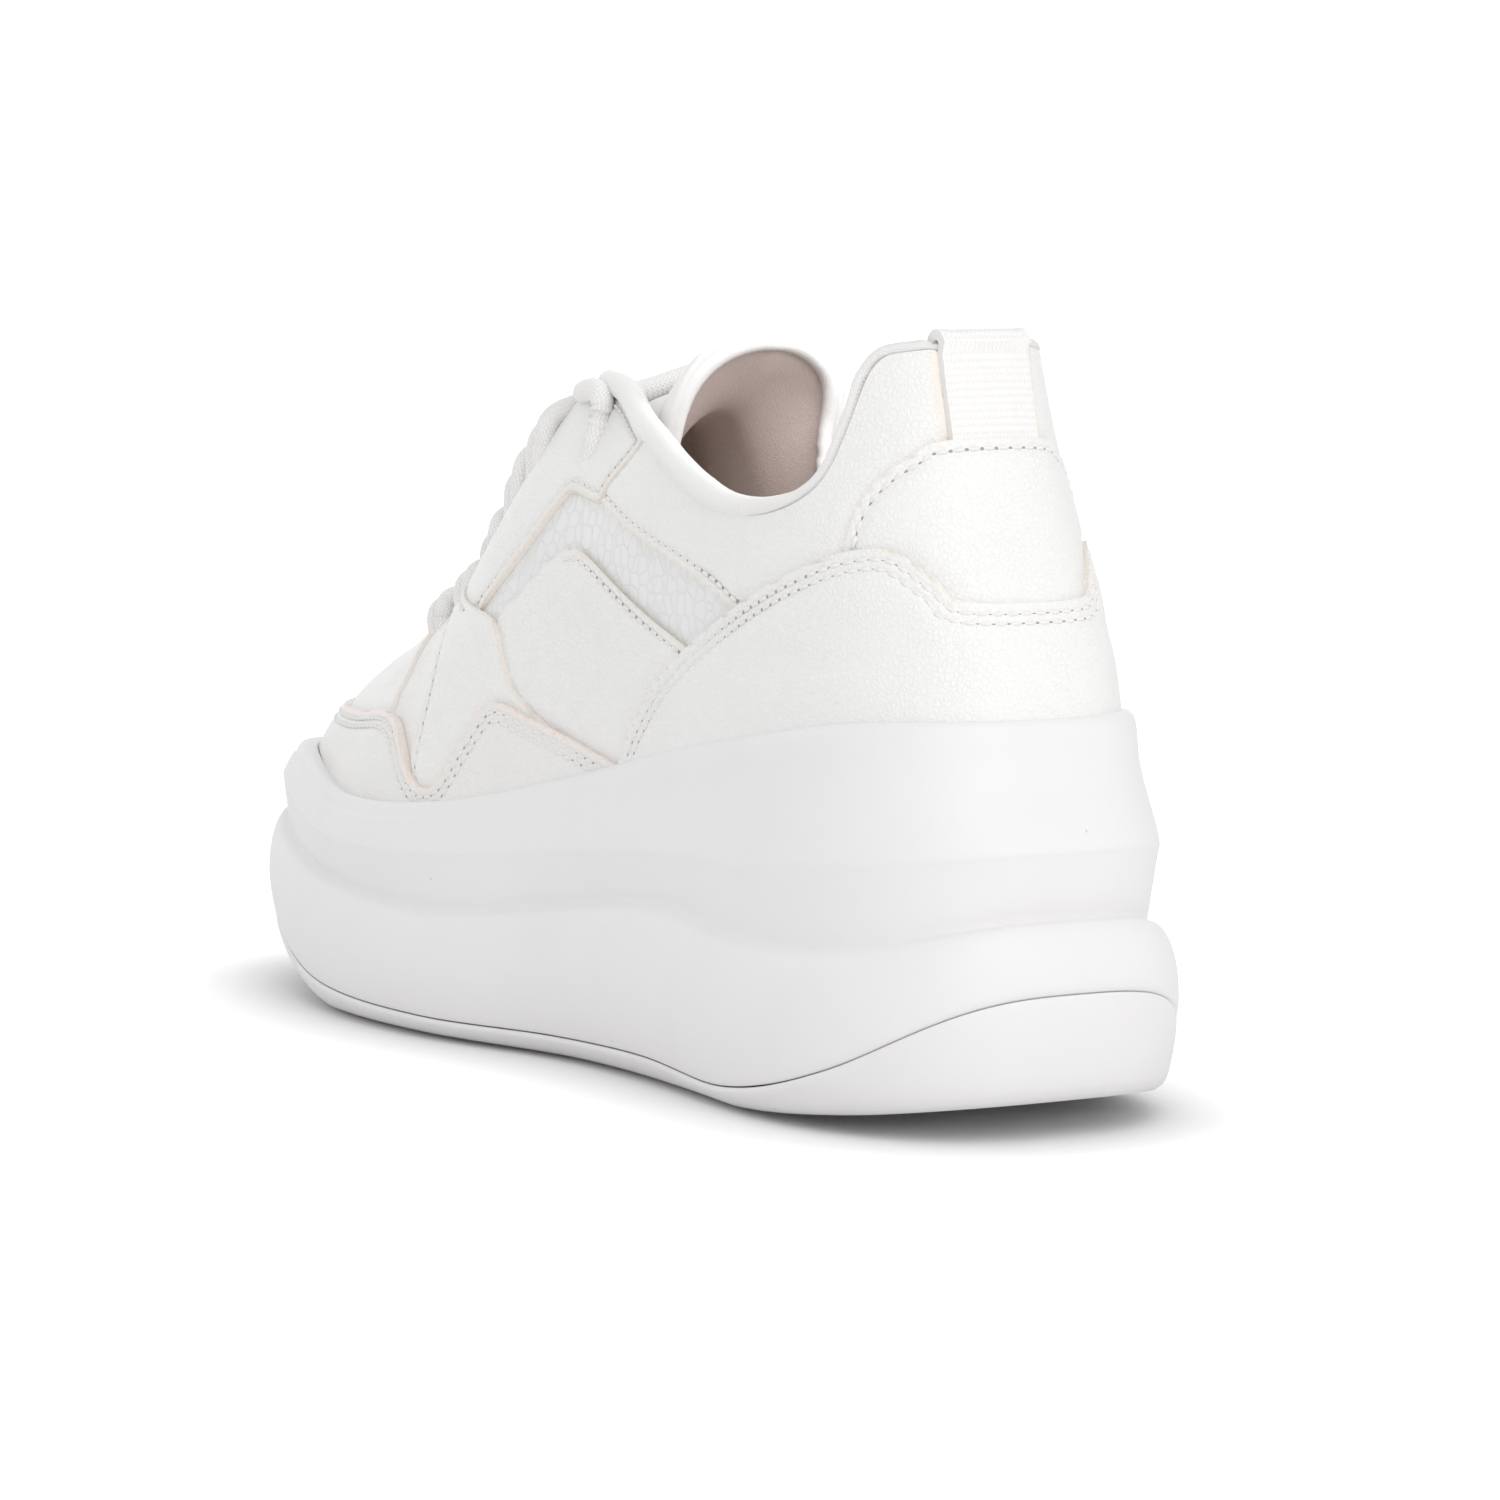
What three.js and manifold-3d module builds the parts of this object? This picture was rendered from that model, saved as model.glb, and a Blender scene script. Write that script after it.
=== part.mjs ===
// Platform sneaker for the left foot, in millimetres.
// The toe points along +X, the outer side is +Y, and the sole stands on z = 0.
import * as THREE from 'three';
import { mergeVertices } from 'three/addons/utils/BufferGeometryUtils.js';
import Module from 'manifold-3d';

const wasm = await Module();
wasm.setup();

// Sole sizes
const soleLength = 278;
const ballWidth = 99;
const heelHeight = 74.4;
const foreHeight = 44.3;
const toeSpring = 14;
const heelBevel = 8;
const endSquareness = 3.1;
const heelShare = 0.35;
const rimInset = 6.4;
const rimHeelInset = 10.5;
const lipWidth = 2.6;
const seatDepth = 9;

// Upper sizes
const instepHeight = 78;
const upperHeight = 67;
const upperWall = 2;
const heelRoundness = 2.5;
const toeBoxLength = 29;
const heelConeLength = 24;

// Inside pieces and clearances
const gap = 0.3;
const insoleThick = 5;
const insoleGap = 1.4;
const tongueThick = 6.5;
const tongueGap = 0.8;
const panelThick = 1.3;
const seamGap = 0.35;
const facetRoom = 0.35;
const collarReach = 0.25;
const collarSteps = 42;
const laceRadius = 2.3;
const bindingRadius = 2.5;
const bindingHeelRadius = 1.2;
const tabWidth = 18;
const tabThick = 1.6;
const tabInside = 12;

// Mesh steps
const stepsRound = 50;
const stepsUp = 10;

// Half widths of the sole on each side of its axis, as shares of ballWidth
const soleWidths = [
  { at: 0.0, outer: 0.44, inner: 0.455 },
  { at: 0.12, outer: 0.452, inner: 0.475 },
  { at: 0.3, outer: 0.378, inner: 0.4 },
  { at: 0.45, outer: 0.372, inner: 0.37 },
  { at: 0.6, outer: 0.47, inner: 0.44 },
  { at: 0.74, outer: 0.498, inner: 0.503 },
  { at: 0.88, outer: 0.46, inner: 0.485 },
  { at: 1.0, outer: 0.41, inner: 0.43 },
];

// Side lines of the sole. "rise" goes from foreHeight (0) to heelHeight (1), and "tread" is a
// share of toeSpring or heelBevel. The others are shares of the wall's height at that place.
const soleLines = [
  { at: 0.0, tread: 1.0, rise: 1.0, groove: 0.36, step: 0.55, ridge: 0.7 },
  { at: 0.1, tread: 0.42, rise: 0.963, groove: 0.165, step: 0.455, ridge: 0.66 },
  { at: 0.22, tread: 0.0, rise: 0.804, groove: 0.068, step: 0.466, ridge: 0.66 },
  { at: 0.34, tread: 0.0, rise: 0.615, groove: 0.086, step: 0.543, ridge: 0.7 },
  { at: 0.46, tread: 0.0, rise: 0.362, groove: 0.09, step: 0.551, ridge: 0.74 },
  { at: 0.6, tread: 0.0, rise: 0.083, groove: 0.1, step: 0.547, ridge: 0.78 },
  { at: 0.75, tread: 0.0, rise: 0.0, groove: 0.147, step: 0.632, ridge: 0.82 },
  { at: 0.9, tread: 0.5, rise: 0.196, groove: 0.29, step: 0.681, ridge: 0.86 },
  { at: 1.0, tread: 1.0, rise: 0.14, groove: 0.404, step: 0.777, ridge: 0.9 },
];

// Crest of the last from heel to toe: its height above the rim as a share of instepHeight,
// its shift to the outer side and the swell of the side walls as shares of the half width,
// and the roundness of flank and crown
const lastSections = [
  { at: 0.0, crest: 1.6, shift: 0.0, swell: 0.0, flank: 1.8, crown: 2.0 },
  { at: 0.06, crest: 1.53, shift: 0.0, swell: 0.03, flank: 1.8, crown: 2.0 },
  { at: 0.19, crest: 1.38, shift: 0.0, swell: 0.1, flank: 1.9, crown: 2.1 },
  { at: 0.3, crest: 1.2, shift: 0.0, swell: 0.12, flank: 2.1, crown: 2.2 },
  { at: 0.382, crest: 1.04, shift: -0.01, swell: 0.12, flank: 2.4, crown: 2.2 },
  { at: 0.485, crest: 1.08, shift: -0.015, swell: 0.04, flank: 2.1, crown: 1.9 },
  { at: 0.56, crest: 1.09, shift: -0.02, swell: 0.02, flank: 1.8, crown: 1.75 },
  { at: 0.63, crest: 0.98, shift: -0.02, swell: 0.0, flank: 1.6, crown: 1.6 },
  { at: 0.71, crest: 0.75, shift: -0.025, swell: 0.0, flank: 1.45, crown: 1.5 },
  { at: 0.784, crest: 0.62, shift: -0.03, swell: 0.0, flank: 1.5, crown: 1.5 },
  { at: 0.857, crest: 0.49, shift: -0.03, swell: 0.0, flank: 1.5, crown: 1.6 },
  { at: 0.946, crest: 0.315, shift: -0.03, swell: 0.0, flank: 1.75, crown: 1.85 },
  { at: 1.0, crest: 0.2, shift: -0.03, swell: 0.0, flank: 2.0, crown: 2.3 },
];

// Lean of the heel's back line over its height, as a share of heelConeLength
const heelLean = [
  { at: 0.0, lean: 0.0 },
  { at: 0.14, lean: 0.08 },
  { at: 0.237, lean: 0.25 },
  { at: 0.3, lean: 0.4 },
  { at: 0.434, lean: 0.64 },
  { at: 0.578, lean: 0.8 },
  { at: 1.0, lean: 1.0 },
];

// Top line of the collar, its height above the rim as a share of upperHeight
const collarLine = [
  { at: 0.0, up: 0.965 },
  { at: 0.143, up: 0.97 },
  { at: 0.156, up: 0.92 },
  { at: 0.162, up: 0.8 },
  { at: 0.17, up: 0.69 },
  { at: 0.185, up: 0.625 },
  { at: 0.215, up: 0.594 },
  { at: 0.25, up: 0.596 },
  { at: 0.285, up: 0.626 },
  { at: 0.317, up: 0.68 },
  { at: 0.351, up: 0.76 },
  { at: 0.39, up: 0.864 },
  { at: 0.445, up: 0.98 },
  { at: 0.49, up: 1.076 },
  { at: 0.54, up: 1.16 },
  { at: 0.6, up: 1.4 },
];

// Throat between the eyestays, seen from above: half widths as shares of ballWidth. It widens
// from its top towards its mouth under the collar.
const throat = { mouth: 0.306, mouthHalf: 0.156, top: 0.45, topHalf: 0.12, toe: 0.745, toeHalf: 0.1 };

// Top edges of the overlays in side view, their height above the rim as a share of upperHeight
const foxingEdge = [
  { at: -0.05, up: 0.29 },
  { at: 0.064, up: 0.295 },
  { at: 0.086, up: 0.35 },
  { at: 0.114, up: 0.438 },
  { at: 0.14, up: 0.453 },
  { at: 0.177, up: 0.429 },
  { at: 0.248, up: 0.356 },
  { at: 0.333, up: 0.245 },
  { at: 0.38, up: 0.145 },
  { at: 0.412, up: 0.01 },
  { at: 0.43, up: -0.2 },
];
const patchEdge = [
  { at: -0.05, up: 0.74 },
  { at: 0.095, up: 0.735 },
  { at: 0.123, up: 0.687 },
  { at: 0.144, up: 0.585 },
  { at: 0.15, up: 0.44 },
];
const mudguardEdge = [
  { at: 1.05, up: 0.1 },
  { at: 0.9, up: 0.11 },
  { at: 0.836, up: 0.15 },
  { at: 0.773, up: 0.217 },
  { at: 0.741, up: 0.238 },
  { at: 0.713, up: 0.225 },
  { at: 0.687, up: 0.172 },
  { at: 0.66, up: 0.09 },
  { at: 0.635, up: 0.04 },
  { at: 0.612, up: 0.055 },
  { at: 0.59, up: 0.157 },
  { at: 0.568, up: 0.25 },
  { at: 0.55, up: 0.255 },
  { at: 0.518, up: 0.191 },
  { at: 0.451, up: 0.057 },
  { at: 0.41, up: -0.03 },
];
const wingEdge = [
  { at: 0.482, up: 0.1 },
  { at: 0.504, up: 0.166 },
  { at: 0.541, up: 0.291 },
  { at: 0.559, up: 0.401 },
  { at: 0.57, up: 0.48 },
  { at: 0.588, up: 0.533 },
  { at: 0.623, up: 0.57 },
  { at: 0.68, up: 0.65 },
];
const vampSeam = [
  { at: 0.68, up: 0.6 },
  { at: 0.672, up: 0.5 },
  { at: 0.66, up: 0.33 },
  { at: 0.658, up: 0.15 },
  { at: 0.655, up: 0.0 },
];
const quarterEdge = [
  { at: 0.6, up: 0.45 },
  { at: 0.575, up: 0.51 },
  { at: 0.542, up: 0.598 },
  { at: 0.519, up: 0.65 },
  { at: 0.5, up: 0.66 },
  { at: 0.472, up: 0.618 },
  { at: 0.39, up: 0.41 },
  { at: 0.32, up: 0.26 },
];
const eyestayEdge = [
  { at: 0.63, up: 0.5 },
  { at: 0.6, up: 0.564 },
  { at: 0.559, up: 0.699 },
  { at: 0.53, up: 0.81 },
  { at: 0.515, up: 0.838 },
  { at: 0.49, up: 0.8 },
  { at: 0.468, up: 0.775 },
  { at: 0.455, up: 0.815 },
  { at: 0.416, up: 0.885 },
  { at: 0.38, up: 0.97 },
];
const collarPanelEdge = [
  { at: 0.48, up: 0.8 },
  { at: 0.445, up: 0.722 },
  { at: 0.39, up: 0.603 },
  { at: 0.294, up: 0.422 },
  { at: 0.24, up: 0.32 },
  { at: 0.12, up: 0.25 },
  { at: -0.05, up: 0.25 },
];

// Stations of the eyelet pairs from the top down, their distance from the crest, and how much
// of the eyestay's thickness the lace rests on there
const eyelets = [
  { at: 0.552, out: 0.17, stay: 1 },
  { at: 0.594, out: 0.165, stay: 1 },
  { at: 0.64, out: 0.16, stay: 1 },
  { at: 0.69, out: 0.155, stay: 0.5 },
  { at: 0.745, out: 0.15, stay: 0 },
  { at: 0.8, out: 0.145, stay: 0 },
];

const tongueRows = [
  { at: 0.35, spread: 0.74, thick: 0.8, sink: 0.2 },
  { at: 0.38, spread: 0.76, thick: 1.25, sink: 0 },
  { at: 0.43, spread: 0.74, thick: 1.0, sink: 0.6 },
  { at: 0.5, spread: 0.7, thick: 1.0, sink: 1.1 },
  { at: 0.6, spread: 0.6, thick: 0.9, sink: 0.9 },
  { at: 0.75, spread: 0.5, thick: 0.7, sink: 0.1 },
  { at: 0.86, spread: 0.42, thick: 0.4, sink: -0.07 },
];

// Smooth curve through one column of a table
function along(table, column, at) {
  const last = table.length - 1;
  const place = Math.min(Math.max(at, table[0].at), table[last].at);
  let i = 0;
  while (i < last - 1 && place > table[i + 1].at) {
    i += 1;
  }
  const slope = (k) => {
    const a = table[Math.max(k - 1, 0)];
    const b = table[Math.min(k + 1, last)];
    return (b[column] - a[column]) / (b.at - a.at);
  };
  const span = table[i + 1].at - table[i].at;
  const t = (place - table[i].at) / span;
  const rise = table[i + 1][column] - table[i][column];
  const bendIn = slope(i) * span - rise;
  const bendOut = rise - slope(i + 1) * span;
  return table[i][column] + t * rise + t * (1 - t) * ((1 - t) * bendIn + t * bendOut);
}

const mix = (a, b, t) => a + (b - a) * t;

// Heights of the sole's side lines at a share of its length
function lineHeights(at) {
  const rim = mix(foreHeight, heelHeight, along(soleLines, 'rise', at));
  const lift = at < 0.5 ? heelBevel : toeSpring;
  return {
    tread: lift * Math.max(along(soleLines, 'tread', at), 0),
    groove: rim * along(soleLines, 'groove', at),
    step: rim * along(soleLines, 'step', at),
    ridge: rim * along(soleLines, 'ridge', at),
    rim,
    bed: rim - seatDepth,
  };
}

// Station and spread of a turn round the outline: 0 at the heel, 0.5 at the toe
function roundTurn(turn, squareness) {
  const c = Math.cos(turn * 2 * Math.PI);
  const s = Math.sin(turn * 2 * Math.PI);
  return {
    station: (1 - Math.sign(c) * Math.abs(c) ** (2 / squareness)) / 2,
    spread: Math.abs(s) ** (2 / squareness),
    side: s >= 0 ? 'outer' : 'inner',
    sign: s >= 0 ? 1 : -1,
  };
}

// One point of the sole's outline, drawn in by an inset at its heel end, along the heel's
// sides ("tail"), along the waist and forefoot ("side") and at the toe
function outlinePoint(turn, inset) {
  const { station, spread, side, sign } = roundTurn(turn, endSquareness);
  const x = mix(inset.heel, soleLength - inset.toe, station);
  const inward = mix(inset.tail ?? inset.side, inset.side, Math.min(x / (heelShare * soleLength), 1));
  const half = along(soleWidths, side, x / soleLength) * ballWidth - inward;
  return { x, y: sign * half * spread };
}

function outlineRing(inset, height) {
  const ring = [];
  for (let i = 0; i < stepsRound; i += 1) {
    const { x, y } = outlinePoint(i / stepsRound, inset);
    ring.push(new THREE.Vector3(x, y, height(lineHeights(x / soleLength))));
  }
  return ring;
}

// Closed mesh from rings of equal count, its ends covered by strips from side to side
function stackRings(rings) {
  const count = rings[0].length;
  const points = rings.flat();
  const faces = [];
  const quad = (a, b, c, d) => faces.push(a, b, c, a, c, d);
  for (let r = 0; r < rings.length - 1; r += 1) {
    for (let i = 0; i < count; i += 1) {
      const j = (i + 1) % count;
      quad(r * count + j, r * count + i, (r + 1) * count + i, (r + 1) * count + j);
    }
  }
  const top = (rings.length - 1) * count;
  for (let i = 0; i < count / 2; i += 1) {
    const across = (count - i) % count;
    const next = count - i - 1;
    quad(i, i + 1, next, across);
    quad(top + i + 1, top + i, top + across, top + next);
  }
  const geometry = new THREE.BufferGeometry();
  const numbers = points.flatMap((p) => [p.x, p.y, p.z]);
  geometry.setAttribute('position', new THREE.Float32BufferAttribute(numbers, 3));
  geometry.setIndex(faces);
  return geometry;
}

function toSolid(geometry) {
  const bare = geometry.clone();
  bare.deleteAttribute('normal');
  bare.deleteAttribute('uv');
  const merged = mergeVertices(bare, 1e-4);
  const corners = [];
  const index = merged.index.array;
  for (let i = 0; i < index.length; i += 3) {
    const [a, b, c] = [index[i], index[i + 1], index[i + 2]];
    if (a !== b && b !== c && c !== a) {
      corners.push(a, b, c);
    }
  }
  return new wasm.Manifold(new wasm.Mesh({
    numProp: 3,
    vertProperties: new Float32Array(merged.attributes.position.array),
    triVerts: new Uint32Array(corners),
  }));
}

function toGeometry(solid) {
  const mesh = solid.getMesh();
  const geometry = new THREE.BufferGeometry();
  geometry.setAttribute('position', new THREE.BufferAttribute(mesh.vertProperties, 3));
  geometry.setIndex(new THREE.BufferAttribute(mesh.triVerts, 1));
  geometry.computeVertexNormals();
  return geometry;
}

// One point of the last's skin. "grow" moves the skin out (or in, below 0).
const uprightEnd = {
  heel: rimHeelInset + lipWidth + gap,
  side: rimInset + lipWidth + gap,
  toe: rimInset + lipWidth + gap,
};

function skinPoint({ station, spread, side, sign }, rise, grow) {
  const flank = along(lastSections, 'flank', station);
  const crown = along(lastSections, 'crown', station);
  const up = Math.sin(rise) ** (2 / flank);
  const out = Math.abs(Math.cos(rise)) ** (2 / crown);
  const heelFoot = uprightEnd.heel - grow;
  const toeFoot = soleLength - uprightEnd.toe + grow;
  const footX = mix(heelFoot, toeFoot, station);
  const heelX = heelFoot + heelConeLength * along(heelLean, 'lean', up);
  const toeX = toeFoot - toeBoxLength * (1 - Math.cos(rise));
  const crestX = mix(heelFoot + heelConeLength, toeFoot - toeBoxLength, station);
  const foot = lineHeights(footX / soleLength).bed + gap;
  const crestRise = instepHeight * along(lastSections, 'crest', station);
  const crest = lineHeights(crestX / soleLength).rim + crestRise + grow;
  const half = along(soleWidths, side, footX / soleLength) * ballWidth - uprightEnd.side + grow;
  const shift = along(lastSections, 'shift', station) * ballWidth * up;
  const swell = along(lastSections, 'swell', station) * Math.sin(2 * rise) ** 2;
  return new THREE.Vector3(
    mix(heelX, toeX, station),
    shift + sign * half * spread * (out + swell),
    mix(foot, crest, up),
  );
}

// The plan is as square as the sole at the foot and rounder higher up
const squareness = (rise) => mix(endSquareness, heelRoundness, Math.sin(rise) ** 0.5);

// The whole last as a closed solid, from its foot up to the crest
function lastSolid(grow, drop = 0) {
  const rings = [];
  for (let level = 0; level <= stepsUp; level += 1) {
    const rise = (level / stepsUp) * Math.PI / 2;
    const ring = [];
    for (let i = 0; i < stepsRound; i += 1) {
      ring.push(skinPoint(roundTurn(i / stepsRound, squareness(rise)), rise, grow));
    }
    rings.push(ring);
  }
  if (drop > 0) {
    rings.unshift(rings[0].map((p) => new THREE.Vector3(p.x, p.y, p.z - drop)));
  }
  return toSolid(stackRings(rings));
}

function sideHeight(at, up) {
  return lineHeights(at).rim + up * upperHeight;
}

// Solid between two depths whose outline is drawn in side view
function sidePrism(points, from = -ballWidth, to = ballWidth) {
  const shape = new THREE.Shape(points.map((p) => new THREE.Vector2(p.x, p.z)));
  const geometry = new THREE.ExtrudeGeometry(shape, { depth: to - from, bevelEnabled: false });
  geometry.rotateX(Math.PI / 2);
  geometry.translate(0, to, 0);
  return toSolid(geometry);
}

// Heights below and above the whole upper, for the cutters
const floorLine = -heelHeight;
const ceiling = heelHeight + instepHeight * 3;

function collarCutter() {
  const points = [{ x: -0.1 * soleLength, z: sideHeight(0, collarLine[0].up) }];
  for (let row = 0; row < collarLine.length - 1; row += 1) {
    for (const t of [0, 1 / 3, 2 / 3]) {
      const at = mix(collarLine[row].at, collarLine[row + 1].at, t);
      points.push({ x: at * soleLength, z: sideHeight(at, along(collarLine, 'up', at)) });
    }
  }
  points.push({ x: points[points.length - 1].x, z: ceiling });
  points.push({ x: points[0].x, z: ceiling });
  return sidePrism(points);
}

function throatCutter() {
  const shape = new THREE.Shape();
  const mouth = throat.mouth * soleLength;
  const top = throat.top * soleLength;
  const end = throat.toe * soleLength;
  const mouthHalf = throat.mouthHalf * ballWidth;
  const topHalf = throat.topHalf * ballWidth;
  const toeHalf = throat.toeHalf * ballWidth;
  const middle = along(lastSections, 'shift', throat.toe) * ballWidth;
  shape.moveTo(mouth, middle - mouthHalf);
  shape.lineTo(top, middle - topHalf);
  shape.lineTo(end - toeHalf, middle - toeHalf);
  shape.absarc(end - toeHalf, middle, toeHalf, -Math.PI / 2, Math.PI / 2, false);
  shape.lineTo(top, middle + topHalf);
  shape.lineTo(mouth, middle + mouthHalf);
  const extent = { depth: ceiling, bevelEnabled: false, curveSegments: 6 };
  const geometry = new THREE.ExtrudeGeometry(shape, extent);
  geometry.translate(0, 0, heelHeight * 0.8);
  return toSolid(geometry);
}

function makeOutsole() {
  const rows = [
    { inset: { heel: 9, tail: 9, side: 11, toe: 11 }, height: (h) => h.tread },
    { inset: { heel: 2.6, tail: 2.6, side: 5, toe: 5 }, height: (h) => h.tread + 0.8 },
    { inset: { heel: 0.9, tail: 0.8, side: 2.4, toe: 2.4 }, height: (h) => mix(h.tread, h.groove, 0.5) },
    { inset: { heel: 0.3, tail: 0.2, side: 1.4, toe: 1.4 }, height: (h) => h.groove - gap / 2 - 0.8 },
    { inset: { heel: 0.9, tail: 0.8, side: 1.9, toe: 1.9 }, height: (h) => h.groove - gap / 2 },
  ];
  return stackRings(rows.map((row) => outlineRing(row.inset, row.height)));
}

function makeMidsole() {
  const rim = (depth) => ({ heel: rimHeelInset + depth, side: rimInset + depth, toe: rimInset + depth });
  const rows = [
    { inset: { heel: 0.9, tail: 0.8, side: 1.9, toe: 1.9 }, height: (h) => h.groove + gap / 2 },
    { inset: { heel: 0.2, tail: 0.1, side: 1.1, toe: 1.1 }, height: (h) => h.groove + gap / 2 + 0.8 },
    { inset: { heel: 0.2, tail: 0, side: 0, toe: 0 }, height: (h) => mix(h.groove, h.step, 0.36) },
    { inset: { heel: 1.4, tail: 1.2, side: 0.5, toe: 0.4 }, height: (h) => mix(h.groove, h.step, 0.7) },
    { inset: { heel: 3.8, tail: 3.2, side: 2.2, toe: 2.2 }, height: (h) => mix(h.groove, h.step, 0.93) },
    { inset: { heel: 6.6, side: 4.6, toe: 4.2 }, height: (h) => h.step },
    { inset: { heel: 6.2, side: 4.3, toe: 3.6 }, height: (h) => mix(h.step, h.ridge, 0.25) },
    { inset: { heel: 4.0, side: 3.4, toe: 2.8 }, height: (h) => h.ridge },
    { inset: rim(-1.2), height: (h) => mix(h.ridge, h.rim, 0.6) },
    { inset: rim(-0.4), height: (h) => h.rim - 2.4 },
    { inset: rim(0.5), height: (h) => h.rim - 0.6 },
    { inset: rim(lipWidth - 0.8), height: (h) => h.rim },
    { inset: rim(lipWidth), height: (h) => h.rim - 0.4 },
    { inset: rim(lipWidth), height: (h) => h.bed },
  ];
  return stackRings(rows.map((row) => outlineRing(row.inset, row.height)));
}

function makeInsole() {
  const inside = (depth) => ({
    heel: uprightEnd.heel + upperWall + depth,
    side: uprightEnd.side + upperWall + depth,
    toe: uprightEnd.toe + upperWall + depth,
  });
  const rows = [
    { inset: inside(insoleGap), height: (h) => h.bed + gap },
    { inset: inside(insoleGap), height: (h) => h.bed + gap + insoleThick * 0.4 },
    { inset: inside(insoleGap + 1.6), height: (h) => h.bed + gap + insoleThick },
    { inset: inside(insoleGap + 9), height: (h) => h.bed + gap + insoleThick * 0.85 },
  ];
  return stackRings(rows.map((row) => outlineRing(row.inset, row.height)));
}

function makeUpper() {
  const inside = lastSolid(-upperWall, seatDepth);
  return toGeometry(lastSolid(0).subtract(inside).subtract(collarCutter()).subtract(throatCutter()));
}

// The tongue follows the last's inner skin under the throat
function makeTongue() {
  const stations = 12;
  const across = 8;
  const rings = [];
  for (let r = 0; r <= stations; r += 1) {
    const station = mix(tongueRows[tongueRows.length - 1].at, tongueRows[0].at, r / stations);
    const reach = Math.abs(1 - 2 * station);
    const lowest = (1 - along(tongueRows, 'spread', station)) * Math.PI / 2;
    const thick = tongueThick * along(tongueRows, 'thick', station);
    const sink = tongueThick * along(tongueRows, 'sink', station);
    const ring = [];
    for (let i = 0; i < 2 * across; i += 1) {
      const angle = (i / across) * Math.PI;
      const q = Math.cos(angle);
      const side = q >= 0 ? { side: 'outer', sign: 1 } : { side: 'inner', sign: -1 };
      const rise = mix(Math.PI / 2, lowest, Math.abs(q) ** 1.2);
      const spread = (1 - reach ** squareness(rise)) ** (1 / squareness(rise));
      const depth = -upperWall - tongueGap - sink - (thick / 2) * (1 - Math.sin(angle));
      ring.push(skinPoint({ station, spread, ...side }, rise, depth));
    }
    rings.push(ring);
  }
  return stackRings(rings);
}

// Sample points of an edge table, smooth through its rows
function edgePoints(table) {
  const curve = new THREE.SplineCurve(table.map((row) => new THREE.Vector2(row.at, row.up)));
  const line = curve.getPoints((table.length - 1) * 2);
  return line.map((p) => ({ x: p.x * soleLength, z: sideHeight(p.x, p.y) }));
}

// Outline moved outward by a small distance, for the seam to a neighbour
function grown(points, by) {
  const area = points.reduce((sum, p, i) => {
    const q = points[(i + 1) % points.length];
    return sum + p.x * q.z - q.x * p.z;
  }, 0);
  return points.map((p, i) => {
    const a = points[(i + points.length - 1) % points.length];
    const b = points[(i + 1) % points.length];
    const length = Math.hypot(b.x - a.x, b.z - a.z);
    const turn = Math.sign(area) * by / length;
    return { x: p.x + (b.z - a.z) * turn, z: p.z - (b.x - a.x) * turn };
  });
}

function below(table) {
  const points = edgePoints(table);
  return [...points, { x: points[points.length - 1].x, z: floorLine }, { x: points[0].x, z: floorLine }];
}

function above(table) {
  const points = edgePoints(table);
  return [...points, { x: points[points.length - 1].x, z: ceiling }, { x: points[0].x, z: ceiling }];
}

const outlines = {
  foxing: below(foxingEdge),
  patch: below(patchEdge),
  mudguard: below(mudguardEdge),
  wing: [...edgePoints(wingEdge), ...edgePoints(vampSeam)],
  quarter: below(quarterEdge),
  eyestay: above(eyestayEdge),
  collarPanel: above(collarPanelEdge),
};

// Layer that lies on the upper, from its rim to the cut edges of collar and throat
function panelLayer() {
  const rimLine = [];
  for (let i = 0; i <= 40; i += 1) {
    const at = mix(-0.05, 1.05, i / 40);
    rimLine.push({ x: at * soleLength, z: sideHeight(at, 0) + gap + facetRoom });
  }
  const cellar = [
    ...rimLine,
    { x: 1.05 * soleLength, z: floorLine },
    { x: -0.05 * soleLength, z: floorLine },
  ];
  return lastSolid(gap + panelThick)
    .subtract(lastSolid(gap))
    .subtract(sidePrism(cellar))
    .subtract(collarCutter())
    .subtract(throatCutter());
}

const layer = panelLayer();

function makePanel(name, over, from, to) {
  let solid = layer.intersect(sidePrism(outlines[name], from, to));
  for (const neighbour of over) {
    solid = solid.subtract(sidePrism(grown(outlines[neighbour], seamGap)));
  }
  return toGeometry(solid);
}

// Point of the skin at a station and a distance across, found by halving
function skinAcross(station, y, grow) {
  const side = y >= 0 ? { side: 'outer', sign: 1 } : { side: 'inner', sign: -1 };
  let low = 0.05;
  let high = Math.PI / 2;
  let point;
  for (let step = 0; step < 24; step += 1) {
    const rise = (low + high) / 2;
    const n = squareness(rise);
    const spread = (1 - Math.abs(1 - 2 * station) ** n) ** (1 / n);
    point = skinPoint({ station, spread, ...side }, rise, grow);
    if (side.sign * (point.y - y) > 0) {
      low = rise;
    } else {
      high = rise;
    }
  }
  return point;
}

// Round bar through a list of points, its radius given at each
function sweepRound(path, radius, sides = 8) {
  const curve = new THREE.CatmullRomCurve3(path);
  const steps = path.length - 1;
  const rings = path.map((centre, i) => {
    const tangent = curve.getTangent(i / steps).normalize();
    const across = new THREE.Vector3().crossVectors(tangent, new THREE.Vector3(0, 0, 1)).normalize();
    const up = new THREE.Vector3().crossVectors(across, tangent);
    const ring = [];
    for (let k = 0; k < sides; k += 1) {
      const angle = (k / sides) * 2 * Math.PI;
      const r = typeof radius === 'function' ? radius(i / steps) : radius;
      const sideways = centre.clone().addScaledVector(across, r * Math.cos(angle));
      ring.push(sideways.addScaledVector(up, r * Math.sin(angle)));
    }
    return ring;
  });
  return stackRings(rings);
}

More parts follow.
